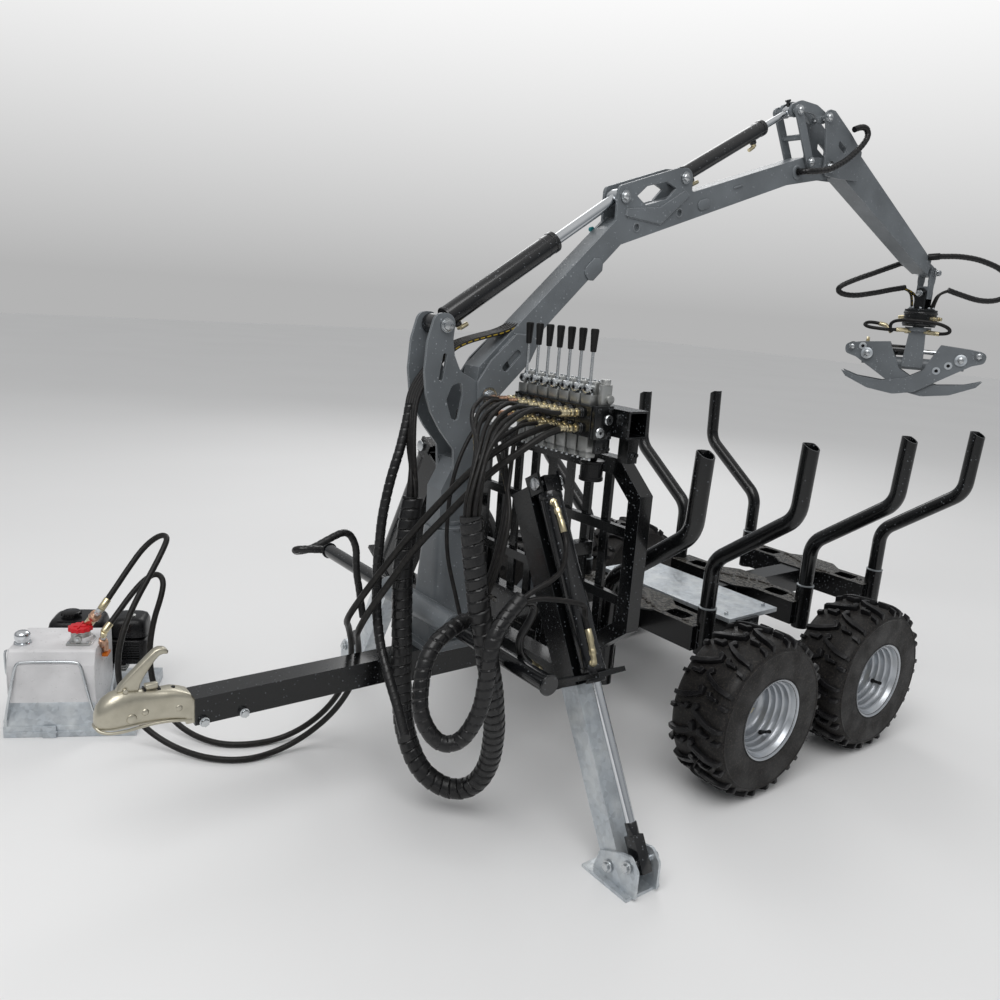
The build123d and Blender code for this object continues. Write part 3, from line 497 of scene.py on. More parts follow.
class Mould:
    """A mesh in the making: every form added to it becomes part of one piece."""

    def __init__(self) -> None:
        """Starts with an empty mesh, whose vertices are marked once their form is done."""
        self.mesh = bmesh.new()
        self.done = self.mesh.verts.layers.int.new("done")

    def seal(self) -> None:
        """Marks all forms so far as done."""
        for vert in self.mesh.verts:
            vert[self.done] = 1

    def fresh(self) -> list[bmesh.types.BMVert]:
        """Vertices of the form in the making."""
        return [vert for vert in self.mesh.verts if not vert[self.done]]

    def ease(self, verts: Iterable[bmesh.types.BMVert], width: float, segments: int = 2) -> None:
        """Rounds the sharp edges between some vertices.

        Args:
            verts: Vertices of the form.
            width: Width of the round in millimetres.
            segments: Faces across the round.
        """
        chosen = set(verts)
        edges = {e for v in chosen for e in v.link_edges if len(e.link_faces) == 2
                and e.calc_face_angle(0.0) > 0.55 and all(w in chosen for w in e.verts)}
        bmesh.ops.bevel(self.mesh, geom=list(edges), offset=width, offset_type="OFFSET", segments=segments,
                profile=0.5, affect="EDGES", material=-1, clamp_overlap=True)

    def block(self, low: Point, high: Point, edge: float = 0.0, place: Optional[Matrix] = None) -> Mould:
        """Adds a box between two corners.

        Args:
            low: Lowest corner.
            high: Highest corner.
            edge: Width of the round on its edges.
            place: Frame that the corners are given in.

        Returns:
            The mould itself.
        """
        a, b = Vector(low), Vector(high)
        form = Matrix.Translation((a + b) / 2) @ Matrix.Diagonal((*(b - a), 1.0))
        made = bmesh.ops.create_cube(self.mesh, size=1.0, matrix=(place or Matrix()) @ form)
        if edge:
            self.ease(made["verts"], edge)
        return self

    def bar(self, start: Point, end: Point, radius: float, tip: Optional[float] = None, sides: int = 28,
            edge: float = 0.0, place: Optional[Matrix] = None) -> Mould:
        """Adds a round, tapered or many-sided bar between two points.

        Args:
            start: Middle of its first end.
            end: Middle of its last end.
            radius: Radius at the start, to the corners of a many-sided bar.
            tip: Radius at the end, the same as at the start if left out.
            sides: Sides of its section.
            edge: Width of the round on its rims.
            place: Frame that the points are given in.

        Returns:
            The mould itself.
        """
        a, b = Vector(start), Vector(end)
        form = (place or Matrix()) @ aim((a + b) / 2, b - a)
        made = bmesh.ops.create_cone(self.mesh, cap_ends=True, cap_tris=False, segments=sides, radius1=radius,
                radius2=radius if tip is None else tip, depth=(b - a).length, matrix=form)
        if edge:
            self.ease(made["verts"], edge)
        return self

    def turned(self, profile: Sequence[tuple[float, float]], origin: Point, axis: Point, sides: int = 48,
            closed: bool = False, place: Optional[Matrix] = None) -> Mould:
        """Adds a turned form.

        Args:
            profile: Distance along the axis and radius, point by point.
            origin: Point on the axis where the distance is 0.
            axis: Direction of the axis.
            sides: Steps round the axis.
            closed: Whether the profile closes on itself, as for a ring.
            place: Frame that origin and axis are given in.

        Returns:
            The mould itself.
        """
        self.seal()
        verts = [self.mesh.verts.new((radius, 0.0, along)) for along, radius in profile]
        pairs = list(zip(verts, verts[1:])) + ([(verts[-1], verts[0])] if closed else [])
        edges = [self.mesh.edges.new(pair) for pair in pairs]
        bmesh.ops.spin(self.mesh, geom=verts + edges, cent=(0, 0, 0), axis=(0, 0, 1), dvec=(0, 0, 0),
                angle=2 * math.pi, steps=sides, use_merge=True, use_duplicate=False)
        bmesh.ops.remove_doubles(self.mesh, verts=self.fresh(), dist=0.01)
        form = (place or Matrix()) @ aim(origin, axis)
        bmesh.ops.transform(self.mesh, matrix=form, verts=self.fresh())
        return self

    def plate(self, outline: Sequence[tuple[float, float]], place: Matrix, thickness: float,
            edge: float = 0.0, corner: float = 0.0) -> Mould:
        """Adds a flat plate.

        Args:
            outline: Corners of the plate in its own plane.
            place: Frame of the plate, which grows along z.
            thickness: Thickness of the plate.
            edge: Width of the round on its rims.
            corner: Radius of its corners.

        Returns:
            The mould itself.
        """
        self.seal()
        face = self.mesh.faces.new([self.mesh.verts.new((a, b, 0.0)) for a, b in outline])
        grown = bmesh.ops.extrude_face_region(self.mesh, geom=[face])["geom"]
        lifted = [g for g in grown if isinstance(g, bmesh.types.BMVert)]
        bmesh.ops.translate(self.mesh, vec=(0, 0, thickness), verts=lifted)
        if corner:
            posts = [e for v in lifted for e in v.link_edges
                    if abs(e.verts[0].co.z - e.verts[1].co.z) > thickness / 2]
            bmesh.ops.bevel(self.mesh, geom=posts, offset=corner, offset_type="OFFSET", segments=5,
                    profile=0.5, affect="EDGES", material=-1, clamp_overlap=True)
        if edge:
            self.ease(self.fresh(), edge)
        bmesh.ops.transform(self.mesh, matrix=place, verts=self.fresh())
        return self

    def tube(self, line: Sequence[Vector], radius: float, sides: int = 14,
            ripple: Optional[Callable[[float, float], float]] = None) -> Mould:
        """Adds a round tube along a line; its map runs round it in x and along it, in metres, in y.

        Args:
            line: Points of the line.
            radius: Radius of the tube.
            sides: Sides of its section.
            ripple: Share of the radius by distance along the line and turn round it.

        Returns:
            The mould itself.
        """
        uv = self.mesh.loops.layers.uv.get("run") or self.mesh.loops.layers.uv.new("run")
        frames = frames_along(line)
        made = bmesh.ops.create_circle(self.mesh, cap_ends=True, radius=radius, segments=sides,
                matrix=frames[0])
        ring = made["verts"]
        edges = list({e for v in ring for e in v.link_edges})
        spots = {v: (frames[0], 0.0) for v in ring}
        distance = 0.0
        for before, frame in zip(frames, frames[1:]):
            distance += (frame.translation - before.translation).length
            grown = bmesh.ops.extrude_edge_only(self.mesh, edges=edges)["geom"]
            ring = [g for g in grown if isinstance(g, bmesh.types.BMVert)]
            own = set(ring)
            edges = [g for g in grown if isinstance(g, bmesh.types.BMEdge) and all(v in own for v in g.verts)]
            bmesh.ops.transform(self.mesh, matrix=frame @ before.inverted(), verts=ring)
            spots.update((v, (frame, distance)) for v in ring)
        bmesh.ops.contextual_create(self.mesh, geom=edges)
        around = {}
        for vert, (frame, along) in spots.items():
            local = frame.inverted() @ vert.co
            around[vert] = math.atan2(local.y, local.x) / (2 * math.pi) % 1.0
            if ripple:
                share = ripple(along, around[vert])
                vert.co = frame @ Vector((local.x * share, local.y * share, local.z))
        for face in {f for v in spots for f in v.link_faces}:
            turns = [around[loop.vert] for loop in face.loops]
            wraps = max(turns) - min(turns) > 0.5
            for loop, turn in zip(face.loops, turns):
                loop[uv].uv = (turn + 1.0 if wraps and turn < 0.5 else turn, spots[loop.vert][1] / 1000)
        return self

    def skin(self, rows: Sequence[tuple[Matrix, float, float, float]], sides: int = 40) -> Mould:
        """Adds a closed form through rounded sections.

        Args:
            rows: For each section its frame, half size along x and along y, and squareness: 2 is an ellipse.
            sides: Points of each section.

        Returns:
            The mould itself.
        """
        rings = []
        for place, half_x, half_y, square in rows:
            made = bmesh.ops.create_circle(self.mesh, cap_ends=False, radius=1.0, segments=sides,
                    matrix=Matrix())
            for vert in made["verts"]:
                power = 2.0 / square
                x = math.copysign(abs(vert.co.x) ** power, vert.co.x)
                y = math.copysign(abs(vert.co.y) ** power, vert.co.y)
                vert.co = place @ Vector((x * half_x, y * half_y, 0.0))
            rings.append(list({e for v in made["verts"] for e in v.link_edges}))
        for ring, following in zip(rings, rings[1:]):
            bmesh.ops.bridge_loops(self.mesh, edges=ring + following)
        for ring in (rings[0], rings[-1]):
            bmesh.ops.contextual_create(self.mesh, geom=ring)
        bmesh.ops.recalc_face_normals(self.mesh, faces=self.mesh.faces)
        return self

    def bolt(self, spot: Point, axis: Point, across: float, height: float = 0.0,
            washer: float = 0.0) -> Mould:
        """Adds a hexagon head with its washer, standing on a surface.

        Args:
            spot: Point on the surface.
            axis: Direction out of the surface.
            across: Width of the head across its flats.
            height: Height of the head, 0.6 of its width if left out.
            washer: Radius of the washer, 0.62 of the width if left out.

        Returns:
            The mould itself.
        """
        out = Vector(axis).normalized()
        base = Vector(spot) - out * 0.4
        disc = base + out * (across * 0.12 + 0.4)
        self.bar(base, disc, washer or across * 0.62, sides=24, edge=across * 0.03)
        self.bar(disc, disc + out * (height or across * 0.6), across / math.sqrt(3), sides=6,
                edge=across * 0.05)
        return self

    def piece(self, name: str, finish: Finish, body: Optional[Body] = Body.CHASSIS,
            sharp: float = 38.0) -> bpy.types.Object:
        """Finishes the mesh as a piece of the trailer.

        Args:
            name: Name of the piece.
            finish: Its finish.
            body: Body that it rides on, or None for a piece that rides on none.
            sharp: Angle in degrees from which an edge stays crisp.

        Returns:
            The new object, at the origin.
        """
        self.mesh.verts.layers.int.remove(self.done)
        bmesh.ops.recalc_face_normals(self.mesh, faces=self.mesh.faces)
        self.mesh.transform(TO_FRAME)
        data = bpy.data.meshes.new(name)
        self.mesh.to_mesh(data)
        self.mesh.free()
        data.materials.append(finish.material())
        data.shade_smooth()
        data.set_sharp_from_angle(angle=math.radians(sharp))
        item = bpy.data.objects.new(name, data)
        bpy.context.scene.collection.objects.link(item)
        if body is not None:
            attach(item, body.value)
        LOG.info("%s: %d faces", name, len(data.polygons))
        return item


@dataclass
class Assembly:
    """What every sub-assembly has: the frame's nodes and a way to give them a finish."""

    nodes: dict[str, bpy.types.Object]

    def coat(self, finish: Finish, *names: str) -> None:
        """Gives some nodes of the frame a finish.

        Args:
            finish: The finish.
            names: Names of the nodes.
        """
        for name in names:
            slots = self.nodes[name].data.materials
            slots.clear()
            slots.append(finish.material())

    def build(self) -> None:
        """Makes the pieces and gives the nodes their finish."""
        raise NotImplementedError


@dataclass
class Studio:
    """Camera at the photograph's angle, pale floor and soft light."""

    eye: tuple[float, float, float] = (-0.4717, -2.2381, 1.125)
    yaw: float = 52.8391          # degrees from +X towards +Y
    pitch: float = -13.0597
    roll: float = 4.0683
    lens: float = 31.26
    floor_size: float = 60.0

    def build(self) -> None:
        """Makes camera, floor, lights and sky."""
        self.camera()
        self.floor()
        self.lights()

    def camera(self) -> None:
        """Makes the camera."""
        data = bpy.data.cameras.new("view")
        data.lens = self.lens
        data.sensor_width = 36.0
        camera = bpy.data.objects.new("view", data)
        turn = (Matrix.Rotation(math.radians(self.yaw - 90), 4,
                "Z") @ Matrix.Rotation(math.radians(90 + self.pitch), 4,
                "X") @ Matrix.Rotation(math.radians(self.roll), 4, "Z"))
        camera.matrix_world = Matrix.Translation(self.eye) @ turn
        bpy.context.scene.collection.objects.link(camera)
        bpy.context.scene.camera = camera

    def floor(self) -> None:
        """Makes a plain pale floor."""
        made = bmesh.new()
        bmesh.ops.create_grid(made, x_segments=1, y_segments=1, size=self.floor_size / 2,
                matrix=Matrix.Translation((1.8, 0.0, -BALL_HEIGHT / 1000 - 0.0005)))
        data = bpy.data.meshes.new("floor")
        made.to_mesh(data)
        made.free()
        material = bpy.data.materials.new("pale studio floor")
        material.use_nodes = True
        tree = material.node_tree
        shader = tree.nodes["Principled BSDF"]
        place = add(tree, "TexCoord").outputs["Object"]
        cloud = add(tree, "TexNoise", {"Vector": place, "Scale": 0.6, "Detail": 2.0})
        tone = add(tree, "Mix", {0: cloud.outputs["Fac"], 6: linear("#E2E2E2"), 7: linear("#E8E8E8")},
                data_type="RGBA")
        tree.links.new(tone.outputs[2], shader.inputs["Base Color"])
        shader.inputs["Roughness"].default_value = 0.9
        data.materials.append(material)
        item = bpy.data.objects.new("floor", data)
        bpy.context.scene.collection.objects.link(item)

    def lights(self) -> None:
        """Makes an overcast sky and two large soft lamps."""
        world = bpy.data.worlds.new("overcast")
        world.use_nodes = True
        tree = world.node_tree
        way = add(tree, "TexCoord")
        split = add(tree, "SeparateXYZ", {0: way.outputs["Generated"]})
        rise = add(tree, "MapRange", {"Value": split.outputs["Z"], "From Min": -0.05, "From Max": 0.7})
        cloud = add(tree, "Mix", {0: rise.outputs["Result"], 6: linear("#8C9298"), 7: linear("#FFFFFF")},
                data_type="RGBA")
        seen = add(tree, "LightPath")
        haze = add(tree, "MapRange", {"Value": split.outputs["Z"], "From Min": 0.0, "From Max": 0.3})
        shown = add(tree, "Mix", {0: haze.outputs["Result"], 6: linear("#B4B4B4"), 7: linear("#FBFBFB")},
                data_type="RGBA")
        tone = add(tree, "Mix", {0: seen.outputs["Is Camera Ray"], 6: cloud.outputs[2], 7: shown.outputs[2]},
                data_type="RGBA")
        glow = add(tree, "MapRange", {"Value": seen.outputs["Is Camera Ray"], "To Min": 0.62, "To Max": 1.0})
        sky = tree.nodes["Background"]
        tree.links.new(tone.outputs[2], sky.inputs["Color"])
        tree.links.new(glow.outputs["Result"], sky.inputs["Strength"])
        bpy.context.scene.world = world
        for name, spot, target, size, power in (("sky panel", (-1.5, -2.5, 6.0), (1.6, 0.0, 0.4), 5.0, 260.0),
                ("far panel", (5.0, 4.5, 4.5), (1.8, 0.0, 0.6), 4.0, 110.0)):
            data = bpy.data.lights.new(name, "AREA")
            data.shape = "SQUARE"
            data.size = size
            data.energy = power
            lamp = bpy.data.objects.new(name, data)
            way = Vector(target) - Vector(spot)
            lamp.matrix_world = Matrix.Translation(spot) @ way.to_track_quat("-Z", "Y").to_matrix().to_4x4()
            bpy.context.scene.collection.objects.link(lamp)
        bpy.context.scene.view_settings.view_transform = "Standard"


# Hoses


@dataclass(frozen=True)
class HoseRun:
    """A hose of the trailer: its route, its cover and what carries it."""

    name: str
    radius: float
    route: tuple[tuple[float, float, float], ...]
    finish: Finish = HOSE
    body: Optional[Body] = Body.CHASSIS
    wrapped: bool = False         # bound in a flat spiral band
    pitch: float = 27.0           # advance of the band in one turn

    def groove(self, along: float, around: float) -> float:
        """Share of the radius: a thin gap between the turns of the band, each turn a little slack."""
        turn = (along / self.pitch - around) % 1.0
        sag = 0.018 * math.sin(2 * math.pi * (along / (self.pitch * 5.3) + around))
        if turn < 0.12:
            return 0.86 + sag
        return 1.0 - 0.06 * (turn - 0.12) + sag

    def make(self) -> tuple[bpy.types.Object, list[Vector]]:
        """Makes the hose.

        Returns:
            The hose and the line that it follows, in millimetres.
        """
        line = spline(self.route)
        if self.wrapped:
            fine: list[Vector] = []
            for a, b in zip(line, line[1:]):
                parts = max(1, round((b - a).length / 2.6))
                fine.extend(a.lerp(b, i / parts) for i in range(parts))
            line = fine + [line[-1]]
        made = Mould().tube(line, self.radius, sides=24 if self.wrapped else 14, ripple=self.groove
                if self.wrapped else None)
        return made.piece(self.name, self.finish, self.body, sharp=60.0), line


# Free hoses: the same routes as their solids in the frame.
SUPPLY_A = ((1159.9, -397, 1210), (1122, -397, 1210), (1066, -394, 1194), (1001, -380, 1151),
        (920, -330, 1075), (838, -270, 954), (776, -212, 852), (712, -165, 724), (676, -125, 636),
        (690, -40, 545), (738, 48, 492), (775, 100, 405), (790, 150, 290), (755, 215, 160), (685, 275, 62),
        (590, 300, 12), (470, 296, 11), (365, 370, 11), (285, 480, 24), (215, 560, 78), (170, 590, 165),
        (152, 605, 265), (170, 635, 365), (228, 680, 468), (295, 712, 560), (346, 745, 630), (374, 785, 662),
        (356, 824, 660), (306, 838, 618), (252, 822, 556), (198, 802, 490), (148, 785, 430))
SUPPLY_B = ((1159.9, -348, 1210), (1124, -348, 1210), (1066, -358, 1202), (985, -348, 1172),
        (905, -300, 1098), (826, -240, 980), (762, -185, 870), (700, -130, 748), (655, -92, 655),
        (668, -8, 575), (722, 76, 518), (768, 138, 420), (790, 190, 300), (772, 262, 170), (722, 335, 66),
        (632, 372, 12), (515, 388, 11), (420, 450, 11), (352, 560, 26), (306, 640, 84), (282, 682, 175),
        (280, 705, 280), (302, 722, 385), (334, 738, 460), (352, 766, 510), (338, 802, 528), (298, 816, 504),
        (248, 806, 456), (198, 786, 402), (150, 764, 354))
BUNDLE_OUTER = ((807, -430, 993), (812, -450, 877), (821, -478, 738), (852, -490, 596), (908, -462, 429),
        (955, -410, 263), (961, -350, 122), (901, -280, 72), (825, -210, 134), (801, -150, 256),
        (803, -122, 400), (804, -112, 559), (799, -106, 717), (810, -100, 854), (832, -92, 966))
BUNDLE_INNER = ((908, -545, 787), (851, -552, 748), (801, -565, 688), (790, -572, 586), (783, -560, 489),
        (754, -530, 402), (698, -500, 392), (657, -470, 467), (667, -445, 549), (693, -430, 623),
        (747, -420, 672), (824, -410, 690))
BUNDLE_THIN = ((862, 0, 1229), (835, -20, 1133), (791, -40, 1039), (757, -52, 930), (743, -58, 810),
        (735, -68, 707), (727, -90, 611), (721, -135, 519), (712, -215, 447), (690, -310, 400),
        (660, -395, 372))
HOSE_STUB = ((697, -62, 600), (695, -40, 670), (690, -20, 740), (694, -12, 812), (660, -16, 862),
        (602, -22, 846), (545, -28, 822), (496, -34, 822), (478, -60, 836), (502, -84, 842), (550, -80, 834))
HOSE_KNEE = ((2518, -38.1, 2106), (2518, -74, 2106), (2556, -90, 2110), (2620, -92, 2122), (2690, -92, 2148),
        (2765, -92, 2190), (2830, -92, 2240), (2872, -92, 2290), (2838, -86, 2322), (2785, -78, 2298))
TIP_LEFT = ((3560, 68, 1850), (3490, 110, 1815), (3412, 172, 1772), (3356, 222, 1738), (3332, 246, 1712),
        (3350, 240, 1688), (3402, 205, 1682), (3468, 152, 1698), (3540, 100, 1722), (3610, 70, 1738))
TIP_RIGHT = ((3600, -68, 1880), (3700, -110, 1893), (3800, -180, 1880), (3895, -240, 1842),
        (3945, -275, 1780), (3925, -262, 1722), (3860, -212, 1694), (3795, -145, 1708), (3725, -80, 1738))


@dataclass
class Hoses(Assembly):
    """Supply hoses, wrapped bundles and the loops at the boom."""

    # name, radius, route, finish, body, wrapped, band pitch
    runs = (HoseRun("bundle_outer_wrap", 32.0, BUNDLE_OUTER, WRAP, Body.CHASSIS, True, 30.0),
            HoseRun("bundle_inner_wrap", 23.0, BUNDLE_INNER, WRAP, Body.CHASSIS, True, 26.0),
            HoseRun("bundle_thin_wrap", 15.0, BUNDLE_THIN, WRAP, Body.CHASSIS, True, 24.0),
            HoseRun("stub_hose", 11.0, HOSE_STUB, WRAP, Body.CHASSIS, True, 20.0),
            HoseRun("supply_hose_a", 10.0, SUPPLY_A, HOSE_LINED), HoseRun("supply_hose_b", 10.0, SUPPLY_B,
            HOSE_LINED), HoseRun("knee_hose", 12.0, HOSE_KNEE, WRAP, Body.INNER_BOOM, True, 20.0),
            HoseRun("tip_hose_left", 13.0, TIP_LEFT, WRAP, Body.HANGER, True, 20.0),
            HoseRun("tip_hose_right", 13.0, TIP_RIGHT, WRAP, Body.HANGER, True, 20.0),)
    stands_for = ("bundle_outer", "bundle_inner", "bundle_thin", "hose_stub", "hose_supply_a",
            "hose_supply_b", "hose_knee", "hose_tip_left", "hose_tip_right")
    lays = ("hanging", "hanging", "hanging", "loose", "loose", "loose", "loose", "hanging", "hanging")

    def build(self) -> None:
        for run, node, lay in zip(self.runs, self.stands_for, self.lays):
            hose, line = run.make()
            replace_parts(hose, node)
            self.coat(HOSE, node)


def upright(y: float) -> Matrix:
    """Frame of a plate that stands in the crane's plane at y and grows towards the near side."""
    return Matrix(((1, 0, 0, 0), (0, 0, -1, y), (0, 1, 0, 0), (0, 0, 0, 1)))


def bead(along: float, around: float) -> float:
    """Share of a weld bead's radius: the ripples that the welder's hand leaves."""
    return 1.0 + 0.14 * math.sin(along * 1.25) + 0.04 * math.sin(along * 0.4 + around * 6.3)


# Chassis


@dataclass
class Chassis(Assembly):
    """Beam, bolsters, stakes, deck plate and headboard."""

    bolsters: tuple[float, ...] = (1445.0, 1946.0, 2537.0, 3040.0)
    bolster_half: float = 60.0
    beam_half: float = 50.0
    stake_offset: float = 332.0
    stake_radius: float = 28.0
    socket_radius: float = 33.0
    socket_top: float = 521.0
    deck: tuple[float, ...] = (2070.0, 2350.0, -340.0, 340.0)     # limits in x and y
    deck_top: float = 458.0
    lip: float = 16.0                                             # depth of the deck plate's lip
    drawbar_bolts: tuple[float, ...] = (229.0, 341.0)
    bolt_height: float = 370.0
    board_face: float = 1390.0

    def build(self) -> None:
        """Makes the details of the chassis and gives its nodes their finish."""
        self.coat(BLACK, "frame_beam", "stakes", "headboard", "bogie_beams")
        self.coat(BLACK_BARK, "bolsters")
        self.coat(GALVANISED, "deck_plate")
        self.coat(PIN_STEEL, "fixings")
        self.coat(BLACK_CYLINDER, "barrels")
        self.socket_rings()
        self.deck_lips()
        self.seams()
        self.bolts()
        self.beam_bark()

    def socket_rings(self) -> None:
        """Makes the pale weld rings where the stakes leave their sockets."""
        rings = Mould()
        inner, outer = self.stake_radius + 0.3, self.socket_radius + 0.8
        profile = [(-1.0, inner), (-1.0, outer), (2.6, outer), (4.6, inner + 2.4), (4.6, inner)]
        for x in self.bolsters:
            for side in (-1, 1):
                rings.turned(profile, (x, side * self.stake_offset, self.socket_top), (0, 0, 1), 32,
                        closed=True)
        rings.piece("socket_rings", WELD)

    def deck_lips(self) -> None:
        """Makes the folded lips of the deck plate and its screws."""
        x0, x1, y0, y1 = self.deck
        lips, screws = Mould(), Mould()
        low, high = self.deck_top - self.lip, self.deck_top + 1.0
        lips.block((x0 - 3, y0 - 3, low), (x0 + 1, y1 + 3, high), 1.2)
        lips.block((x1 - 1, y0 - 3, low), (x1 + 3, y1 + 3, high), 1.2)
        lips.block((x0, y0 - 3, low), (x1, y0 + 1, high), 1.2)
        lips.block((x0, y1 - 1, low), (x1, y1 + 3, high), 1.2)
        for x in (x0 + 30, x1 - 30):
            for y in (y0 + 40, y1 - 40):
                screws.bolt((x, y, self.deck_top), (0, 0, 1), 14.0)
        lips.piece("deck_lips", GALVANISED)
        screws.piece("deck_screws", ZINC)

    def seams(self) -> None:
        """Makes the weld seams of bolsters, sockets and headboard."""
        seams = Mould()
        for x in self.bolsters:
            for edge in (-1, 1):
                for side in (-1, 1):
                    top = Vector((x + edge * (self.bolster_half + 1), side * (self.beam_half + 1), 444))
                    seams.tube([top + Vector((0, 0, -2.6 * i)) for i in range(30)], 3.2, 8, bead)
                    foot = Vector((x + edge * 31, side * (325 + 1.0), 366))
                    seams.tube([foot + Vector((0, 0, 2.6 * i)) for i in range(30)], 3.0, 8, bead)
        for side in (-1, 1):
            start = Vector((self.board_face + 1, side * 128, 457))
            seams.tube([start - Vector((0, side * 2.6 * i, 0)) for i in range(30)], 3.4, 8, bead)
        seams.piece("chassis_welds", BLACK)

    def bolts(self) -> None:
        """Makes the screws and nuts of drawbar and bogie."""
        heads = Mould()
        for x in self.drawbar_bolts:
            for side in (-1, 1):
                heads.bolt((x, side * 47.6, self.bolt_height), (0, side, 0), 20.0, height=9.0, washer=14.0)
        for side in (-1, 1):
            heads.bolt((2165, side * 459.5, 280), (0, side, 0), 38.0, height=12.0, washer=30.0)
        heads.piece("drawbar_bolts", PIN_STEEL)

    def beam_bark(self) -> None:
        """Makes the larger flakes of bark that lie on the bolsters."""
        flakes = Mould()
        turn = 0.0
        for x in self.bolsters:
            for i in range(46):
                turn += 2.399963                        # golden angle, spreads the flakes evenly
                along = -318 + 636 * ((i * 0.618034) % 1.0)
                across = 48 * math.sin(turn)
                size = 5.0 + 7.0 * ((i * 0.377 + x * 0.01) % 1.0)
                if abs(abs(along) - self.stake_offset) < 42 or abs(abs(along) - 205) < 52:
                    continue
                place = (Matrix.Translation((x + across, along, 454.5)) @ Matrix.Rotation(turn, 4,
                        "Z") @ Matrix.Rotation(0.12 * math.sin(3 * turn), 4, "X"))
                outline = [(-size, -size * 0.4), (size * 0.2, -size * 0.6), (size, -size * 0.1),
                        (size * 0.7, size * 0.5), (-size * 0.3, size * 0.55)]
                flakes.plate(outline, place, 1.5 + 0.25 * size)
        flakes.piece("bark_flakes", BARK)


@dataclass
class Coupling(Assembly):
    """Pressed ball coupling with its locking handle."""

    # distance behind the ball, half width, underside, top, squareness of the section
    sections: tuple[tuple[float, ...], ...] = ((-41.5, 7, 410, 424, 2.2), (-39, 17, 399, 440, 2.3),
            (-32, 26, 391, 457, 2.5), (-18, 32.5, 386, 474, 2.6), (2, 35.5, 383, 486, 2.7),
            (26, 35.5, 382, 491, 2.7), (50, 32, 382, 488, 2.7), (78, 28, 382, 481, 2.9),
            (104, 28, 383, 476, 3.2), (130, 31, 383, 473, 3.6), (155, 33.5, 381, 471, 4.2),
            (180, 34.5, 376, 462, 5.0), (199, 34.5, 372, 452, 6.0))
    wall: float = 3.6
    rim: float = 4.2                # radius of the rolled rim
    ball_height: float = 430.0
    handle: tuple[tuple[float, float], ...] = ((13, 488), (22, 503), (44, 526), (72, 552), (98, 576),
            (112, 588), (124, 592), (138, 590), (148, 581), (146, 572), (134, 574), (124, 572), (114, 562),
            (100, 543), (84, 520), (74, 500), (70, 482), (40, 484))

    def build(self) -> None:
        """Makes shell, ball cup, shank and handle; they stand for the coupling's solid."""
        self.coat(YELLOW_ZINC, "coupling_body")
        shell = self.shell()
        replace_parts(shell, "coupling_body")
        self.rolled_rim()
        self.shank()
        self.lever()
        self.recesses()

    def shell(self) -> bpy.types.Object:
        """Makes the pressed sheet, open underneath.

        Returns:
            The shell.
        """
        shell = Mould()
        rows = [(aim((x, 0, (low + high) / 2), (1, 0, 0)), half, (high - low) / 2, square) for x, half, low,
                high, square in self.sections]
        shell.skin(rows, sides=48)
        below = [f for f in shell.mesh.faces if f.normal.z < -0.75 and f.calc_center_median().x < 190]
        bmesh.ops.delete(shell.mesh, geom=below, context="FACES")
        item = shell.piece("coupling_shell", YELLOW_ZINC, Body.CHASSIS, sharp=50.0)
        wall = item.modifiers.new("wall", "SOLIDIFY")
        wall.thickness = self.wall / 1000
        return item

    def rolled_rim(self) -> None:
        """Makes the rolled rim round the shell's lower edge and the ball cup inside."""
        rim = Mould()
        side = [(x, half - 1.5, low + 4.5) for x, half, low, _, _ in self.sections[1:]]
        route = [(x, -y, z) for x, y, z in reversed(side)] + [(-41, 0, 404)] + side
        rim.tube(spline(route, 6), self.rim, sides=12)
        cup = [(-24.0, 26.5), (-24.0, 30.0), (-10.0, 33.0), (6.0, 33.0), (20.0, 27.0), (30.0, 14.0),
                (33.0, 0.0), (27.0, 0.0), (24.0, 11.0), (17.0, 20.0), (6.0, 26.4), (-8.0, 26.4)]
        rim.turned(cup, (0, 0, self.ball_height), (0, 0, 1), sides=32, closed=True)
        rim.piece("coupling_rim", YELLOW_ZINC)

    def shank(self) -> None:
        """Makes the square shank that the drawbar holds, and the pressed bosses on the flanks."""
        shank = Mould()
        shank.block((184, -33.9, 366.1), (360, 33.9, 433.9), 3.0)
        for side in (-1, 1):
            for x, z, radius in ((44, 418, 11.5), (80, 426, 8.5), (166, 420, 9.0)):
                flank = 35.5 if x < 60 else 29.5 if x < 120 else 33.6
                shank.turned([(-3.0, radius + 2), (0.5, radius), (2.2, radius * 0.6), (2.6, 0.0),
                        (-3.0, 0.0)], (x, side * flank, z), (0, side, 0), sides=20, closed=True)
        shank.piece("coupling_shank", YELLOW_ZINC)

    def lever(self) -> None:
        """Makes the locking handle, its pivot and the catch behind it."""
        lever = Mould()
        lever.plate(self.handle, upright(13), 26.0, edge=4.5)
        lever.bar((34, -22, 492), (34, 22, 492), 6.5, edge=1.2)
        lever.block((86, -9, 478), (120, 9, 494), 3.0)
        lever.piece("coupling_handle", YELLOW_ZINC, Body.CHASSIS, sharp=50.0)

    def recesses(self) -> None:
        """Makes black pieces that paint the shade in the openings: the lock's hole on top and the groove
        beside the catch.
        """
        painted_shade = Mould()
        painted_shade.bar((160, 0, 462), (160, 0, 471.6), 5.5, sides=20)
        painted_shade.block((82, -13, 474), (88, 13, 483.5), 1.0)
        painted_shade.block((118, -10, 470), (126, 10, 477.5), 1.0)
        painted_shade.piece("coupling_opening_shade", PLASTIC)


# Wheels


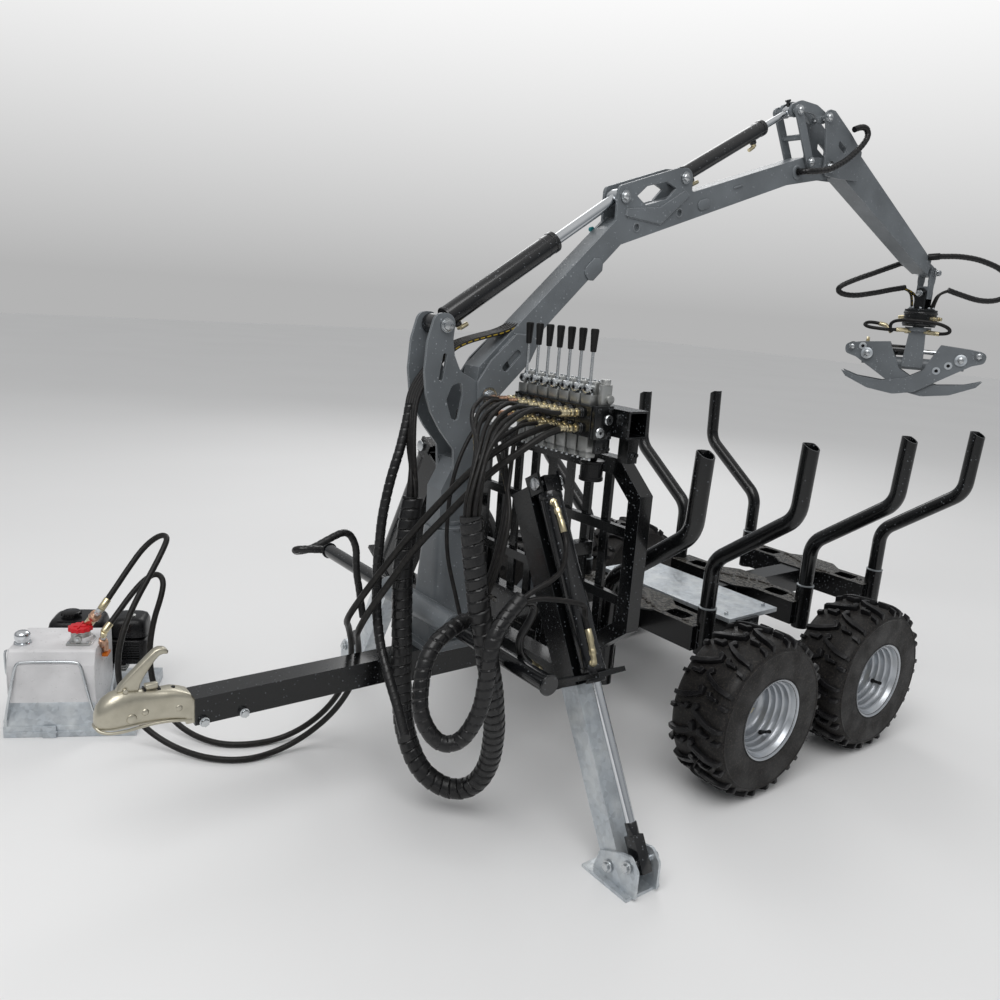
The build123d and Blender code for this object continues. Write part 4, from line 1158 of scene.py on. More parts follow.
@dataclass
class Wheel:
    """Pneumatic wheel: stepped steel rim, hub nut, sidewalls and a tread of hooked bars."""

    name: str
    body: Body
    x: float
    side: int                     # -1 on the near side, 1 on the far side
    valve_turn: float             # degrees round the axle
    face: float = 727.0           # outer plane of the rim, from the middle plane
    axle: float = 280.0
    radius: float = 280.0
    floor: float = 261.0          # radius between the bars of the tread
    middle: float = 106.0         # middle of the tread, inward from the rim's outer plane
    pitches: int = 14
    # one pitch of the tread: distance from the tread's middle, distance along the tyre
    hooked: tuple[tuple[float, float], ...] = ((-9, -17), (5, -23), (12, -8), (2, 3), (28, 15), (60, 29),
            (92, 35), (102, 36), (102, 52), (92, 52), (54, 46), (18, 30), (-13, 9))
    cross: tuple[tuple[float, float], ...] = ((22, 58), (37, 54), (41, 66), (66, 68), (67, 80), (30, 79))
    shoulder: tuple[tuple[float, float], ...] = ((78, 80), (102, 80), (102, 96), (78, 93))

    def place(self) -> Matrix:
        """Frame of the wheel: z runs inward along the axle from the rim's outer plane."""
        return aim((self.x, self.side * self.face, self.axle), (0, -self.side, 0))

    def rim(self) -> bpy.types.Object:
        """Makes the rim with its concentric steps.

        Returns:
            The rim.
        """
        outside = [(3.0, 135.0), (0.5, 137.5), (0.0, 140.0), (3.5, 140.0), (5.0, 134.0), (8.0, 130.5),
                (22.0, 129.0), (25.5, 126.0), (27.5, 121.5), (42.0, 120.0), (45.5, 117.5), (47.5, 113.5),
                (62.0, 112.0), (65.5, 109.5), (67.5, 105.5), (82.0, 104.0), (85.5, 101.5), (87.5, 97.0),
                (102.0, 95.5), (110.0, 92.0), (116.0, 84.0), (118.5, 72.0), (118.5, 62.0), (121.5, 54.0),
                (121.5, 44.0), (114.0, 38.0), (112.0, 32.0), (112.0, 20.6)]
        inside = [(176.0, 20.6), (176.0, 46.0), (150.0, 48.0), (132.0, 58.0), (126.0, 76.0), (122.0, 90.0),
                (110.0, 99.0), (92.0, 101.0), (90.0, 106.0), (72.0, 108.0), (70.0, 114.0), (52.0, 116.5),
                (50.0, 122.0), (34.0, 124.0), (31.0, 128.0), (14.0, 133.0), (9.0, 136.0), (7.0, 144.0),
                (-0.5, 144.0), (-0.5, 137.0)]
        barrel = [(104.0, 96.0), (122.0, 104.0), (150.0, 112.0), (172.0, 122.0), (200.0, 127.0),
                (207.0, 130.0), (209.0, 140.0), (212.0, 140.0), (211.5, 128.0), (204.0, 123.5),
                (174.0, 118.5), (152.0, 108.5), (122.0, 99.0), (108.0, 93.0)]
        rim = Mould()
        rim.turned(outside + inside[:-3], (0, 0, 0), (0, 0, 1), sides=72, closed=True, place=self.place())
        rim.turned(barrel, (0, 0, 0), (0, 0, 1), sides=72, closed=True, place=self.place())
        return rim.piece(f"wheel_{self.name}_rim", RIM, self.body, sharp=50.0)

    def trim(self) -> None:
        """Makes the hub nut with washer and split pin, and the valve in its rubber foot."""
        place = self.place()
        nut, valve = Mould(), Mould()
        nut.bar((0, 0, 113), (0, 0, 108), 28.0, sides=32, edge=0.8, place=place)
        nut.bar((0, 0, 109), (0, 0, 92), 24.0, sides=6, edge=1.8, place=place)
        nut.bar((0, 0, 93), (0, 0, 85), 12.5, sides=24, edge=1.6, place=place)
        nut.bar((-20, 0, 89), (20, 0, 89), 2.2, sides=10, place=place)
        nut.piece(f"wheel_{self.name}_nut", BRASS, self.body)
        place = place @ Matrix.Rotation(math.radians(self.valve_turn), 4, "Z")
        valve.bar((0, 104, 74), (0, 97, 64), 9.0, tip=7.0, sides=20, edge=1.0, place=place)
        valve.bar((0, 99, 67), (0, 76, 34), 6.4, tip=5.0, sides=18, edge=0.8, place=place)
        valve.bar((0, 77.5, 36), (0, 71, 27), 6.6, sides=12, edge=0.8, place=place)
        valve.piece(f"wheel_{self.name}_valve", PLASTIC, self.body)

    def carcass(self) -> bpy.types.Object:
        """Makes the tyre's body with beads, sidewalls and the crisp ridge at its shoulder.

        Returns:
            The tyre's body.
        """
        half = [(6.0, 132.0), (3.0, 139.5), (3.4, 144.0), (1.0, 147.0), (0.4, 156.0), (-1.0, 176.0),
                (-1.8, 200.0), (-1.2, 226.0), (-0.6, 234.0), (-2.0, 237.0), (-1.8, 240.5), (1.5, 241.5),
                (5.0, 247.0), (11.0, 253.0), (22.0, 258.5), (44.0, 262.0), (72.0, self.floor),
                (self.middle, self.floor + 1.0)]
        outer = half + [(2 * self.middle - s, r) for s, r in reversed(half[:-1])]
        inner = [(190.0, 133.0), (196.0, 200.0), (176.0, 240.0), (self.middle, 250.0), (36.0, 240.0),
                (16.0, 200.0), (22.0, 133.0)]
        tyre = Mould()
        tyre.turned(outer + inner, (0, 0, 0), (0, 0, 1), sides=96, closed=True, place=self.place())
        return tyre.piece(f"wheel_{self.name}_tyre", SIDEWALL, self.body, sharp=28.0)

    def reach(self, across: float, share: float) -> float:
        """Radius at a distance from the tread's middle, at a share of the bars' height."""
        fall = max(0.0, abs(across) - 50.0) ** 2
        floor = self.floor - 3.0 - 0.0058 * fall
        return floor + share * (self.radius - 0.0046 * fall - floor)

    def tread(self) -> None:
        """Makes the bars of the tread, bent round the tyre."""
        pitch = 2 * math.pi * self.radius / self.pitches
        tread = Mould()
        for mirrored in (1, -1):
            for step in range(self.pitches):
                shift = (step + (0.0 if mirrored > 0 else 0.5)) * pitch
                for outline in (self.hooked, self.cross, self.shoulder):
                    self.bar(tread, outline, mirrored, shift)
        tread.piece(f"wheel_{self.name}_tread", TYRE, self.body, sharp=28.0)

    def bar(self, tread: Mould, outline: Sequence[tuple[float, float]], mirrored: int, shift: float) -> None:
        """Adds one bar of the tread.

        Args:
            tread: Mould of the tread.
            outline: Its corners, across and along the tyre.
            mirrored: 1 on the outer half of the tread, -1 on the inner half.
            shift: Its distance along the tyre.
        """
        depth = 18.0
        tread.plate(outline, Matrix(), depth, edge=1.8)
        for cut in (30.0, 54.0, 74.0, 90.0):
            own = tread.fresh()
            parts = {g for v in own for g in (v, *v.link_edges, *v.link_faces)}
            bmesh.ops.bisect_plane(tread.mesh, geom=list(parts), plane_co=(cut, 0, 0), plane_no=(1, 0, 0),
                    dist=0.01)
        place = self.place()
        middle_a = sum(a for a, _ in outline) / len(outline)
        middle_b = sum(b for _, b in outline) / len(outline)
        for vert in tread.fresh():
            share = vert.co.z / depth
            across = vert.co.x + (middle_a - vert.co.x) * 0.05 * share
            along = vert.co.y + (middle_b - vert.co.y) * 0.08 * share
            turn = (along + shift) / self.radius
            reach = self.reach(across, share)
            vert.co = place @ Vector((reach * math.sin(turn), reach * math.cos(turn),
                    self.middle - mirrored * across))


@dataclass
class Wheels(Assembly):
    """The four wheels."""

    wheels: tuple[Wheel, ...] = (Wheel("front_near", Body.WHEEL_FRONT_NEAR, 1848.0, -1, 150.0),
            Wheel("rear_near", Body.WHEEL_REAR_NEAR, 2482.0, -1, 118.0),
            Wheel("front_far", Body.WHEEL_FRONT_FAR, 1848.0, 1, 30.0), Wheel("rear_far", Body.WHEEL_REAR_FAR,
            2482.0, 1, 200.0))

    def build(self) -> None:
        """Makes the wheels, which stand for their rim and tyre solids."""
        for wheel in self.wheels:
            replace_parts(wheel.rim(), f"rim_{wheel.name}")
            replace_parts(wheel.carcass(), f"tyre_{wheel.name}")
            wheel.trim()
            wheel.tread()
            self.coat(RIM, f"rim_{wheel.name}")
            self.coat(SIDEWALL, f"tyre_{wheel.name}")


# Stabiliser legs


@dataclass
class Leg:
    """Stabiliser leg: pin heads, gland, ports and seams round its solids."""

    side: int
    x: float = 1150.0
    foot: tuple[float, float] = (775.0, 50.0)    # foot pin: distance from the middle plane, height
    tilt: float = 29.0                           # splay from upright in degrees
    cylinder: float = 80.0                       # cylinder's distance outward from the tube

    def place(self) -> Matrix:
        """Frame of the leg: origin at the foot pin, z up along the leg, y outward."""
        lean = math.radians(self.tilt)
        sine, cosine = math.sin(lean), math.cos(lean)
        return Matrix(((-self.side, 0, 0, self.x), (0, self.side * cosine, -self.side * sine,
                self.side * self.foot[0]), (0, sine, cosine, self.foot[1]), (0, 0, 0, 1)))

    def build(self) -> None:
        """Makes the details of the leg."""
        place = self.place()
        tag = "near" if self.side < 0 else "far"
        foot_body = Body.LEG_NEAR if self.side < 0 else Body.LEG_FAR
        pins, feet, gland, ports, seams, eye = (Mould() for _ in range(6))
        for way in (-1, 1):
            pins.bar((way * 41, self.cylinder, 1082), (way * 49.5, self.cylinder, 1082), 19.0, sides=32,
                    edge=2.0, place=place)
            for depth in (0.0, self.cylinder):
                feet.bar((way * 49, depth, 0), (way * 54, depth, 0), 17.0, sides=28, edge=0.8, place=place)
                feet.bar((way * 53, depth, 0), (way * 62, depth, 0), 12.5, sides=6, edge=1.0, place=place)
            line = [place @ Vector((way * 44, -38 + 2.6 * i, 520)) for i in range(30)]
            seams.tube(line, 3.2, 8, bead)
        pins.piece(f"leg_{tag}_top_pin_heads", PIN_STEEL)
        feet.piece(f"leg_{tag}_foot_bolts", ZINC, foot_body)
        seams.piece(f"leg_{tag}_welds", BLACK)
        gland.bar((0, self.cylinder, 505.5), (0, self.cylinder, 492), 30.0, sides=36, edge=2.0, place=place)
        gland.bar((0, self.cylinder, 1030), (0, self.cylinder, 1052), 37.0, sides=40, edge=2.0, place=place)
        gland.bar((0, self.cylinder, 520), (0, self.cylinder, 540), 37.0, sides=40, edge=2.0, place=place)
        gland.piece(f"leg_{tag}_gland", BLACK_CYLINDER)
        eye.block((-18.6, self.cylinder - 20.6, -31), (18.6, self.cylinder + 20.6, 71), 2.0, place=place)
        eye.bar((0, self.cylinder, 60), (0, self.cylinder, 106), 17.0, sides=28, edge=1.6, place=place)
        eye.piece(f"leg_{tag}_rod_clevis", BLACK_CYLINDER, foot_body)
        for height, bend in ((546.0, 1), (1014.0, -1)):
            base = Vector((-20, self.cylinder + 27, height))
            out = Vector((-0.35, 0.94, 0))
            ports.bar(base, base + out * 13, 10.5, sides=20, edge=0.8, place=place)
            elbow = base + out * 20
            ports.bar(base + out * 10, elbow, 9.5, sides=6, edge=0.8, place=place)
            ports.bar(elbow, elbow + Vector((0, 4, 30 * bend)), 8.0, sides=18, edge=0.8, place=place)
            ports.bar(elbow + Vector((0, 3, 22 * bend)), elbow + Vector((0, 5, 38 * bend)), 10.5, sides=6,
                    edge=0.8, place=place)
            ports.bar(elbow + Vector((0, 5, 36 * bend)), elbow + Vector((0, 8, 66 * bend)), 8.6, sides=18,
                    edge=0.8, place=place)
        ports.piece(f"leg_{tag}_ports", BRASS)


@dataclass
class Legs(Assembly):
    """Both stabiliser legs."""

    def build(self) -> None:
        """Makes the details of the legs and gives their nodes their finish."""
        self.coat(BLACK, "leg_sleeves")
        self.coat(GALVANISED, "leg_inner_near", "leg_inner_far")
        self.coat(CHROME, "leg_rod_near", "leg_rod_far")
        for side in (-1, 1):
            Leg(side).build()


# Crane


@dataclass
class Crane(Assembly):
    """Bolts, glands, rings, pads and seams of column, booms and links."""

    # pins: x, height, distance of the outer face from the middle plane, body, width of the bolt head or 0
    pins: tuple[tuple[float, float, float, Body, float], ...] = ((943, 1467, 58, Body.COLUMN, 30),
            (1103, 1259, 70, Body.COLUMN, 30), (1622, 1909, 44, Body.INNER_BOOM, 0),
            (1898, 2003, 44, Body.INNER_BOOM, 0), (2462, 2317, 56, Body.CRANK, 0),
            (2647, 2322, 57, Body.OUTER_BOOM, 0), (2569, 2148, 58, Body.INNER_BOOM, 0),
            (2695, 2147, 60, Body.INNER_BOOM, 0))
    # cylinders: name, lower pin, upper pin, radius and length of the tube, rod's radius in the gland, body
    cylinders: tuple[tuple[str, tuple[float, float], tuple[float, float], float, float, float, Body], ...] = (
            ("lift", (943, 1467), (1622, 1909), 33.0, 504.0, 19.5, Body.LIFT_BARREL),
            ("outer", (1898, 2003), (2462, 2317), 27.0, 479.0, 13.5, Body.OUTER_BARREL))
    boom_half: float = 38.0
    boom_run: tuple[float, float] = (933.0, 313.0)      # the inner boom's middle line: way back and rise
    slew_x: float = 1024.0                              # the column's axis
    rack: tuple[float, float] = (930.0, 580.0)          # axis of the slew cylinders in x and height

    def build(self) -> None:
        """Makes the details of the crane and gives its nodes their finish."""
        self.coat(GREY, "column_base", "crane_column", "inner_boom", "outer_boom", "crank_links", "arch_link",
                "hanger_link")
        self.coat(BLACK_CYLINDER, "lift_barrel", "outer_barrel")
        self.coat(CHROME, "lift_rod", "outer_rod")
        self.coat(PIN_STEEL, "column_pins", "inner_boom_pins", "outer_boom_pins")
        self.pin_heads()
        self.glands()
        self.boom_details()
        self.column_details()
        self.welds()

    def pin_heads(self) -> None:
        """Makes bolt heads with washers on the column and domed caps on the other pins."""
        heads: dict[Body, Mould] = {}
        for x, z, face, body, across in self.pins:
            head = heads.setdefault(body, Mould())
            for side in (-1, 1):
                spot, out = (x, side * (face - 0.5), z), (0, side, 0)
                if across:
                    head.bolt(spot, out, across, height=9.0, washer=across * 0.62)
                else:
                    head.turned([(0, 0), (0, 17.0), (3.0, 17.0), (3.4, 13.5), (7.0, 12.0), (10.0, 7.5),
                            (11.0, 0)], spot, out, sides=28)
        for body, head in heads.items():
            head.piece(f"pin_heads_{body.value}", PIN_STEEL, body)

    def glands(self) -> None:
        """Makes the glands, end rings and ports of the crane's cylinders."""
        for name, low, high, radius, length, rod, body in self.cylinders:
            a, b = Vector((low[0], 0, low[1])), Vector((high[0], 0, high[1]))
            way = (b - a).normalized()
            rings = Mould()
            for start, end, reach in ((33.0, 42.0, 1.4), (length - 44, length - 41, 0.8),
                    (length - 14, length + 2, 1.8)):
                rings.turned([(start, radius - 2), (start, radius + reach - 1), (start + 1, radius + reach),
                        (end - 1, radius + reach), (end, radius + reach - 1), (end, radius - 2)], a, way,
                        sides=48, closed=True)
            rings.turned([(length - 2, rod), (length + 5, rod), (length + 7, rod + 1.5),
                    (length + 7, rod + 5), (length - 2, rod + 7)], a, way, sides=40, closed=True)
            up = Vector((-way.z, 0, way.x))
            spots = ((64.0, 1),) if name == "lift" else ((64.0, 1), (length - 60.0, -1))
            for along, _ in spots:
                foot = a + way * along - up * (radius - 3)
                rings.bar(foot, foot - up * 13, 12.0, sides=24, edge=1.0)
            rings.piece(f"{name}_cylinder_rings", BLACK_CYLINDER, body)
            ports = Mould()
            for along, back in spots:
                foot = a + way * along - up * (radius + 9)
                ports.bar(foot, foot - up * 12, 9.5, sides=6, edge=0.8)
                ports.bar(foot - up * 11, foot - up * 13 + way * back * 30, 7.0, sides=18, edge=0.8)
            ports.piece(f"{name}_cylinder_ports", BRASS, body)

    def boom_details(self) -> None:
        """Makes the side pads, hole rims and plugs of the booms, and the grease nipple on the outer rod."""
        pads, rims = Mould(), Mould()
        tilt = math.atan2(self.boom_run[1], self.boom_run[0])
        for side in (-1, 1):
            face = side * self.boom_half
            for x, z, long, high, turn in ((1512, 1668, 40, 27, 0.76), (2006, 1928, 30, 17, tilt),
                    (2180, 2010, 26, 3, tilt)):
                place = (Matrix.Translation((x, 0, z)) @ Matrix.Rotation(-turn, 4, "Y") @ upright(face
                        + (0 if side < 0 else 4.5)))
                outline = [(-long, -high * 0.45), (-long * 0.62, -high), (long * 0.62, -high),
                        (long, -high * 0.45), (long, high * 0.45), (long * 0.62, high), (-long * 0.62, high),
                        (-long, high * 0.45)]
                pads.plate(outline, place, 4.5, edge=1.4)
            for x, z, radius in ((1689, 1817, 12.0), (1888, 1886, 12.0)):
                rims.turned([(-1.0, radius), (-1.0, radius + 4.5), (1.2, radius + 4.5), (2.2, radius + 2),
                        (1.2, radius)], (x, face, z), (0, side, 0), sides=28, closed=True)
        rims.turned([(-1.0, 15.0), (-1.0, 27.0), (2.5, 27.0), (5.0, 23.0), (5.0, 18.5), (2.5, 15.0)],
                (2512, -self.boom_half, 2104), (0, -1, 0), sides=36, closed=True)
        pads.piece("boom_pads", GREY, Body.INNER_BOOM)
        rims.piece("boom_hole_rims", GREY, Body.INNER_BOOM)
        caps = Mould()
        for x, z in ((1660, 1868), (1730, 1898), (1560, 1800)):
            caps.bar((x, self.boom_half - 1, z), (x, self.boom_half + 12, z), 9.0, tip=7.5, sides=20,
                    edge=1.0)
        caps.piece("boom_plugs", TEAL, Body.INNER_BOOM)
        keeper = Mould()
        keeper.bar((2458, 0, 2335), (2452, 0, 2356), 8.0, sides=18, edge=1.0)
        keeper.bar((2452, -11, 2354), (2452, 11, 2354), 4.0, sides=14, edge=0.8)
        keeper.piece("outer_rod_grease_nipple", BLACK_CYLINDER, Body.OUTER_ROD)

    def column_details(self) -> None:
        """Makes the slewing housing's ribs, flange bolts and the collar under the column."""
        collar, bolts = Mould(), Mould()
        collar.turned([(0, 44), (0, 62), (4, 64), (9, 64), (12, 60), (12, 44)], (self.slew_x, 0, 834),
                (0, 0, 1), sides=40, closed=True)
        for side in (-1, 1):
            collar.turned([(0, 26), (0, 36), (3, 37.5), (7, 37.5), (9, 34), (9, 26)],
                    (self.rack[0], side * 196, self.rack[1]), (0, side, 0), sides=40, closed=True)
            collar.block((918, side * 97 - 5, 466), (1104, side * 97 + 5, 482), 2.0)
        collar.piece("slewing_collars", GREY)
        for x in (922, 1100):
            for y in (-80, 80):
                bolts.bolt((x, y, 467.5), (0, 0, 1), 18.0)
        for side in (-1, 1):
            bolts.turned([(0, 0), (0, 30), (6, 30), (9, 27), (9, 0)],
                    (self.rack[0], side * 654, self.rack[1]), (0, side, 0), sides=36)
        bolts.piece("slewing_bolts", BLACK_CYLINDER)

    def welds(self) -> None:
        """Makes the weld seams that show on the crane."""
        column, boom = Mould(), Mould()
        for side in (-1, 1):
            y = side * 41
            for a, b in (((1118, 1000), (1118, 1056)), ((1000, 1059), (1112, 1061)),
                    ((1000, 1002), (1000, 1050))):
                start, end = Vector((a[0], y, a[1])), Vector((b[0], y, b[1]))
                count = max(2, int((end - start).length / 2.6))
                column.tube([start.lerp(end, i / count) for i in range(count + 1)], 2.6, 8, bead)
            y = side * (self.boom_half + 1)
            for a, b in (((1632, 1849), (1639, 1873)), ((1640, 1847), (1798, 1838)),
                    ((1798, 1838), (1924, 1944)), ((1205, 1450), (1262, 1446)), ((1288, 1426), (1258, 1366))):
                start, end = Vector((a[0], y, a[1])), Vector((b[0], y, b[1]))
                count = max(2, int((end - start).length / 2.6))
                boom.tube([start.lerp(end, i / count) for i in range(count + 1)], 2.4, 8, bead)
        column.piece("column_welds", GREY, Body.COLUMN)
        boom.piece("boom_welds", GREY, Body.INNER_BOOM)


# Valve bank


@dataclass
class ValveBank(Assembly):
    """Seven-section valve bank with levers, caps, fittings and its end section."""

    levers: tuple[float, ...] = tuple(-102 - 49.2 * i for i in range(7))
    lever_x: float = 1216.0
    face: float = 1190.0            # side of the block that carries the fittings
    rows: tuple[float, ...] = (1210.0, 1254.0)
    near_end: float = -440.0

    def build(self) -> None:
        """Makes the bank's pieces; they stand for caps, levers, grips and fittings."""
        self.coat(BLACK, "valve_body")
        self.coat(CAST_ALUMINIUM, "valve_caps")
        self.coat(CHROME, "valve_levers")
        self.coat(GRIP, "valve_grips")
        self.coat(BRASS, "valve_fittings")
        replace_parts(self.caps(), "valve_caps")
        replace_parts(self.rods(), "valve_levers")
        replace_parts(self.grips(), "valve_grips")
        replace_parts(self.fittings(), "valve_fittings")
        self.bosses()
        self.end_section()

    def grips(self) -> bpy.types.Object:
        """Makes the tapered grips, wider on top.

        Returns:
            The grips.
        """
        grips = Mould()
        profile = [(0, 0), (0, 7.0), (1.5, 8.6), (30, 10.2), (59, 12.0), (63, 11.4), (65, 9.0), (65, 0)]
        for y in self.levers:
            grips.turned(profile, (self.lever_x, y, 1425), (0, 0, 1), sides=24)
        return grips.piece("lever_grips", GRIP)

    def rods(self) -> bpy.types.Object:
        """Makes lever rods with the round eyes at their feet.

        Returns:
            The levers.
        """
        rods, eyes = Mould(), Mould()
        x = self.lever_x
        for y in self.levers:
            rods.bar((x, y, 1330), (x, y, 1432), 4.6, sides=16)
            rods.bar((x, y, 1326), (x, y, 1342), 7.0, sides=6, edge=0.6)
            rods.turned([(-13, 0), (-13, 9.5), (-11, 12.5), (-3, 14), (8, 14), (12, 12), (12, 0)],
                    (x - 6, y, 1321), (1, 0, 0), sides=28)
            rods.bar((x - 8, y - 17, 1319), (x - 8, y + 17, 1319), 7.0, sides=20, edge=1.0)
            eyes.bar((x - 19.5, y, 1321), (x - 16, y, 1321), 5.6, sides=20)
            eyes.bar((x - 8, y - 19, 1319), (x - 8, y + 19, 1319), 3.4, sides=16)
        eyes.piece("lever_eyes", PLASTIC)
        return rods.piece("lever_rods", PIN_STEEL)

    def caps(self) -> bpy.types.Object:
        """Makes the cast caps above and below the sections, and their screws.

        Returns:
            The caps.
        """
        caps, screws = Mould(), Mould()
        for y in self.levers:
            caps.block((1203, y - 21, 1275), (1254, y + 21, 1306), 3.5)
            caps.block((1222, y - 16, 1303), (1260, y + 16, 1342), 5.0)
            caps.block((1206, y - 20.5, 1140), (1250, y + 20.5, 1189), 3.0)
            caps.block((1210, y - 16, 1122), (1246, y + 16, 1142), 3.0)
            for way in (-1, 1):
                screws.bar((1241, y + way * 9, 1341), (1241, y + way * 9, 1347), 4.2, sides=14, edge=0.8)
                screws.bar((1228, y + way * 11, 1123), (1228, y + way * 11, 1114), 4.6, sides=14, edge=0.8)
            screws.bar((1212, y - 15, 1305), (1212, y - 15, 1311), 4.2, sides=14, edge=0.8)
        screws.piece("cap_screws", ZINC)
        return caps.piece("section_caps", CAST_ALUMINIUM)

    def fittings(self) -> bpy.types.Object:
        """Makes unions and crimped ferrules at the block, copper coloured on the first two sections.

        Returns:
            The brass coloured fittings.
        """
        brass, copper = Mould(), Mould()
        x = self.face
        for i, y in enumerate(self.levers):
            for z in self.rows:
                brass.bar((x - 12, y, z), (x - 21, y, z), 13.4, sides=6, edge=1.0)
                brass.bar((x - 20, y, z), (x - 30, y, z), 9.0, sides=20, edge=0.6)
                brass.bar((x - 29, y, z), (x - 43, y, z), 12.4, sides=6, edge=1.0)
                sleeve = copper if i < 2 else brass
                crimp = [(42, 0), (42, 9.4), (44, 10.6), (52, 10.6), (53, 9.4), (58, 9.4), (59, 10.6),
                        (66, 10.6), (67, 9.4), (71, 9.4), (72, 10.6), (77, 10.2), (78, 8.6), (78, 0)]
                sleeve.turned(crimp, (x, y, z), (-1, 0, 0), sides=24)
        copper.piece("crimped_ferrules", COPPER)
        return brass.piece("hose_unions", BRASS)

    def bosses(self) -> None:
        """Makes the round port bosses, the joints between the sections and the tie rods' nuts."""
        bosses = Mould()
        for y in self.levers:
            for z in self.rows:
                profile = [(0, 0), (0, 17.2), (4, 17.2), (5, 16), (9, 16), (10, 15.2), (13, 14.6), (13, 0)]
                bosses.turned(profile, (self.face + 1, y, z), (-1, 0, 0), sides=28)
            bosses.block((1194, max(y - 23.4, -439), 1187), (1261, min(y + 23.4, -85.5), 1277.5), 1.5)
        for y in (-470, -140):
            for x in (1310, 1330):
                bosses.bolt((x, y - 20, 1140), (0, -1, 0), 12.0)
        bosses.piece("port_bosses", BLACK)

    def end_section(self) -> None:
        """Makes the end section with its flange, plugs and screws, the inlet casting and the round can."""
        flange, plugs, painted_shade, inlet, can = (Mould() for _ in range(5))
        end = self.near_end
        flange.block((1192, end - 18, 1184), (1261, end + 2, 1280), 2.5)
        flange.block((1204, end - 16, 1142), (1259, end - 2, 1188), 3.0)
        for x, z in ((1242, 1240), (1211, 1204)):
            spot = Vector((x, end - 17.5, z))
            plugs.turned([(0, 0), (0, 15.5), (4, 15.5), (6.5, 13.5), (6.5, 0)], spot, (0, -1, 0), sides=32)
            # black hexagon painting the shade in the plug's hex socket
            painted_shade.bar(spot + Vector((0, -5, 0)), spot + Vector((0, -7, 0)), 5.0, sides=6)
        for x, z in ((1206, 1266), (1250, 1266), (1250, 1198), (1214, 1156), (1248, 1156)):
            flange.bar((x, end - 14, z), (x, end - 23, z), 6.5, sides=20, edge=1.0)
            # black hexagon painting the shade in the screw's hex socket
            painted_shade.bar((x, end - 22, z), (x, end - 23.4, z), 3.2, sides=6)
        inlet.block((1222, end - 4, 1278), (1262, end + 14, 1338), 4.0)
        inlet.bar((1242, end + 6, 1336), (1242, end + 6, 1352), 14.0, sides=28, edge=2.0)
        inlet.bar((1250, end - 14, 1296), (1250, end + 2, 1296), 13.0, sides=28, edge=2.0)
        can.turned([(0, 0), (0, 33), (2, 36), (10, 36), (12, 34), (52, 34), (54, 37), (60, 37), (62, 34),
                (62, 0)], (1268, -380, 1048), (0, 0, 1), sides=40)
        can.block((1258, -392, 1105), (1278, -368, 1194), 2.0)
        flange.piece("end_flange", BLACK)
        plugs.piece("end_plugs", PIN_STEEL)
        painted_shade.piece("screw_socket_shade", PLASTIC)
        inlet.piece("inlet_casting", CAST_ALUMINIUM)
        can.piece("round_can", PLASTIC)


# Power pack


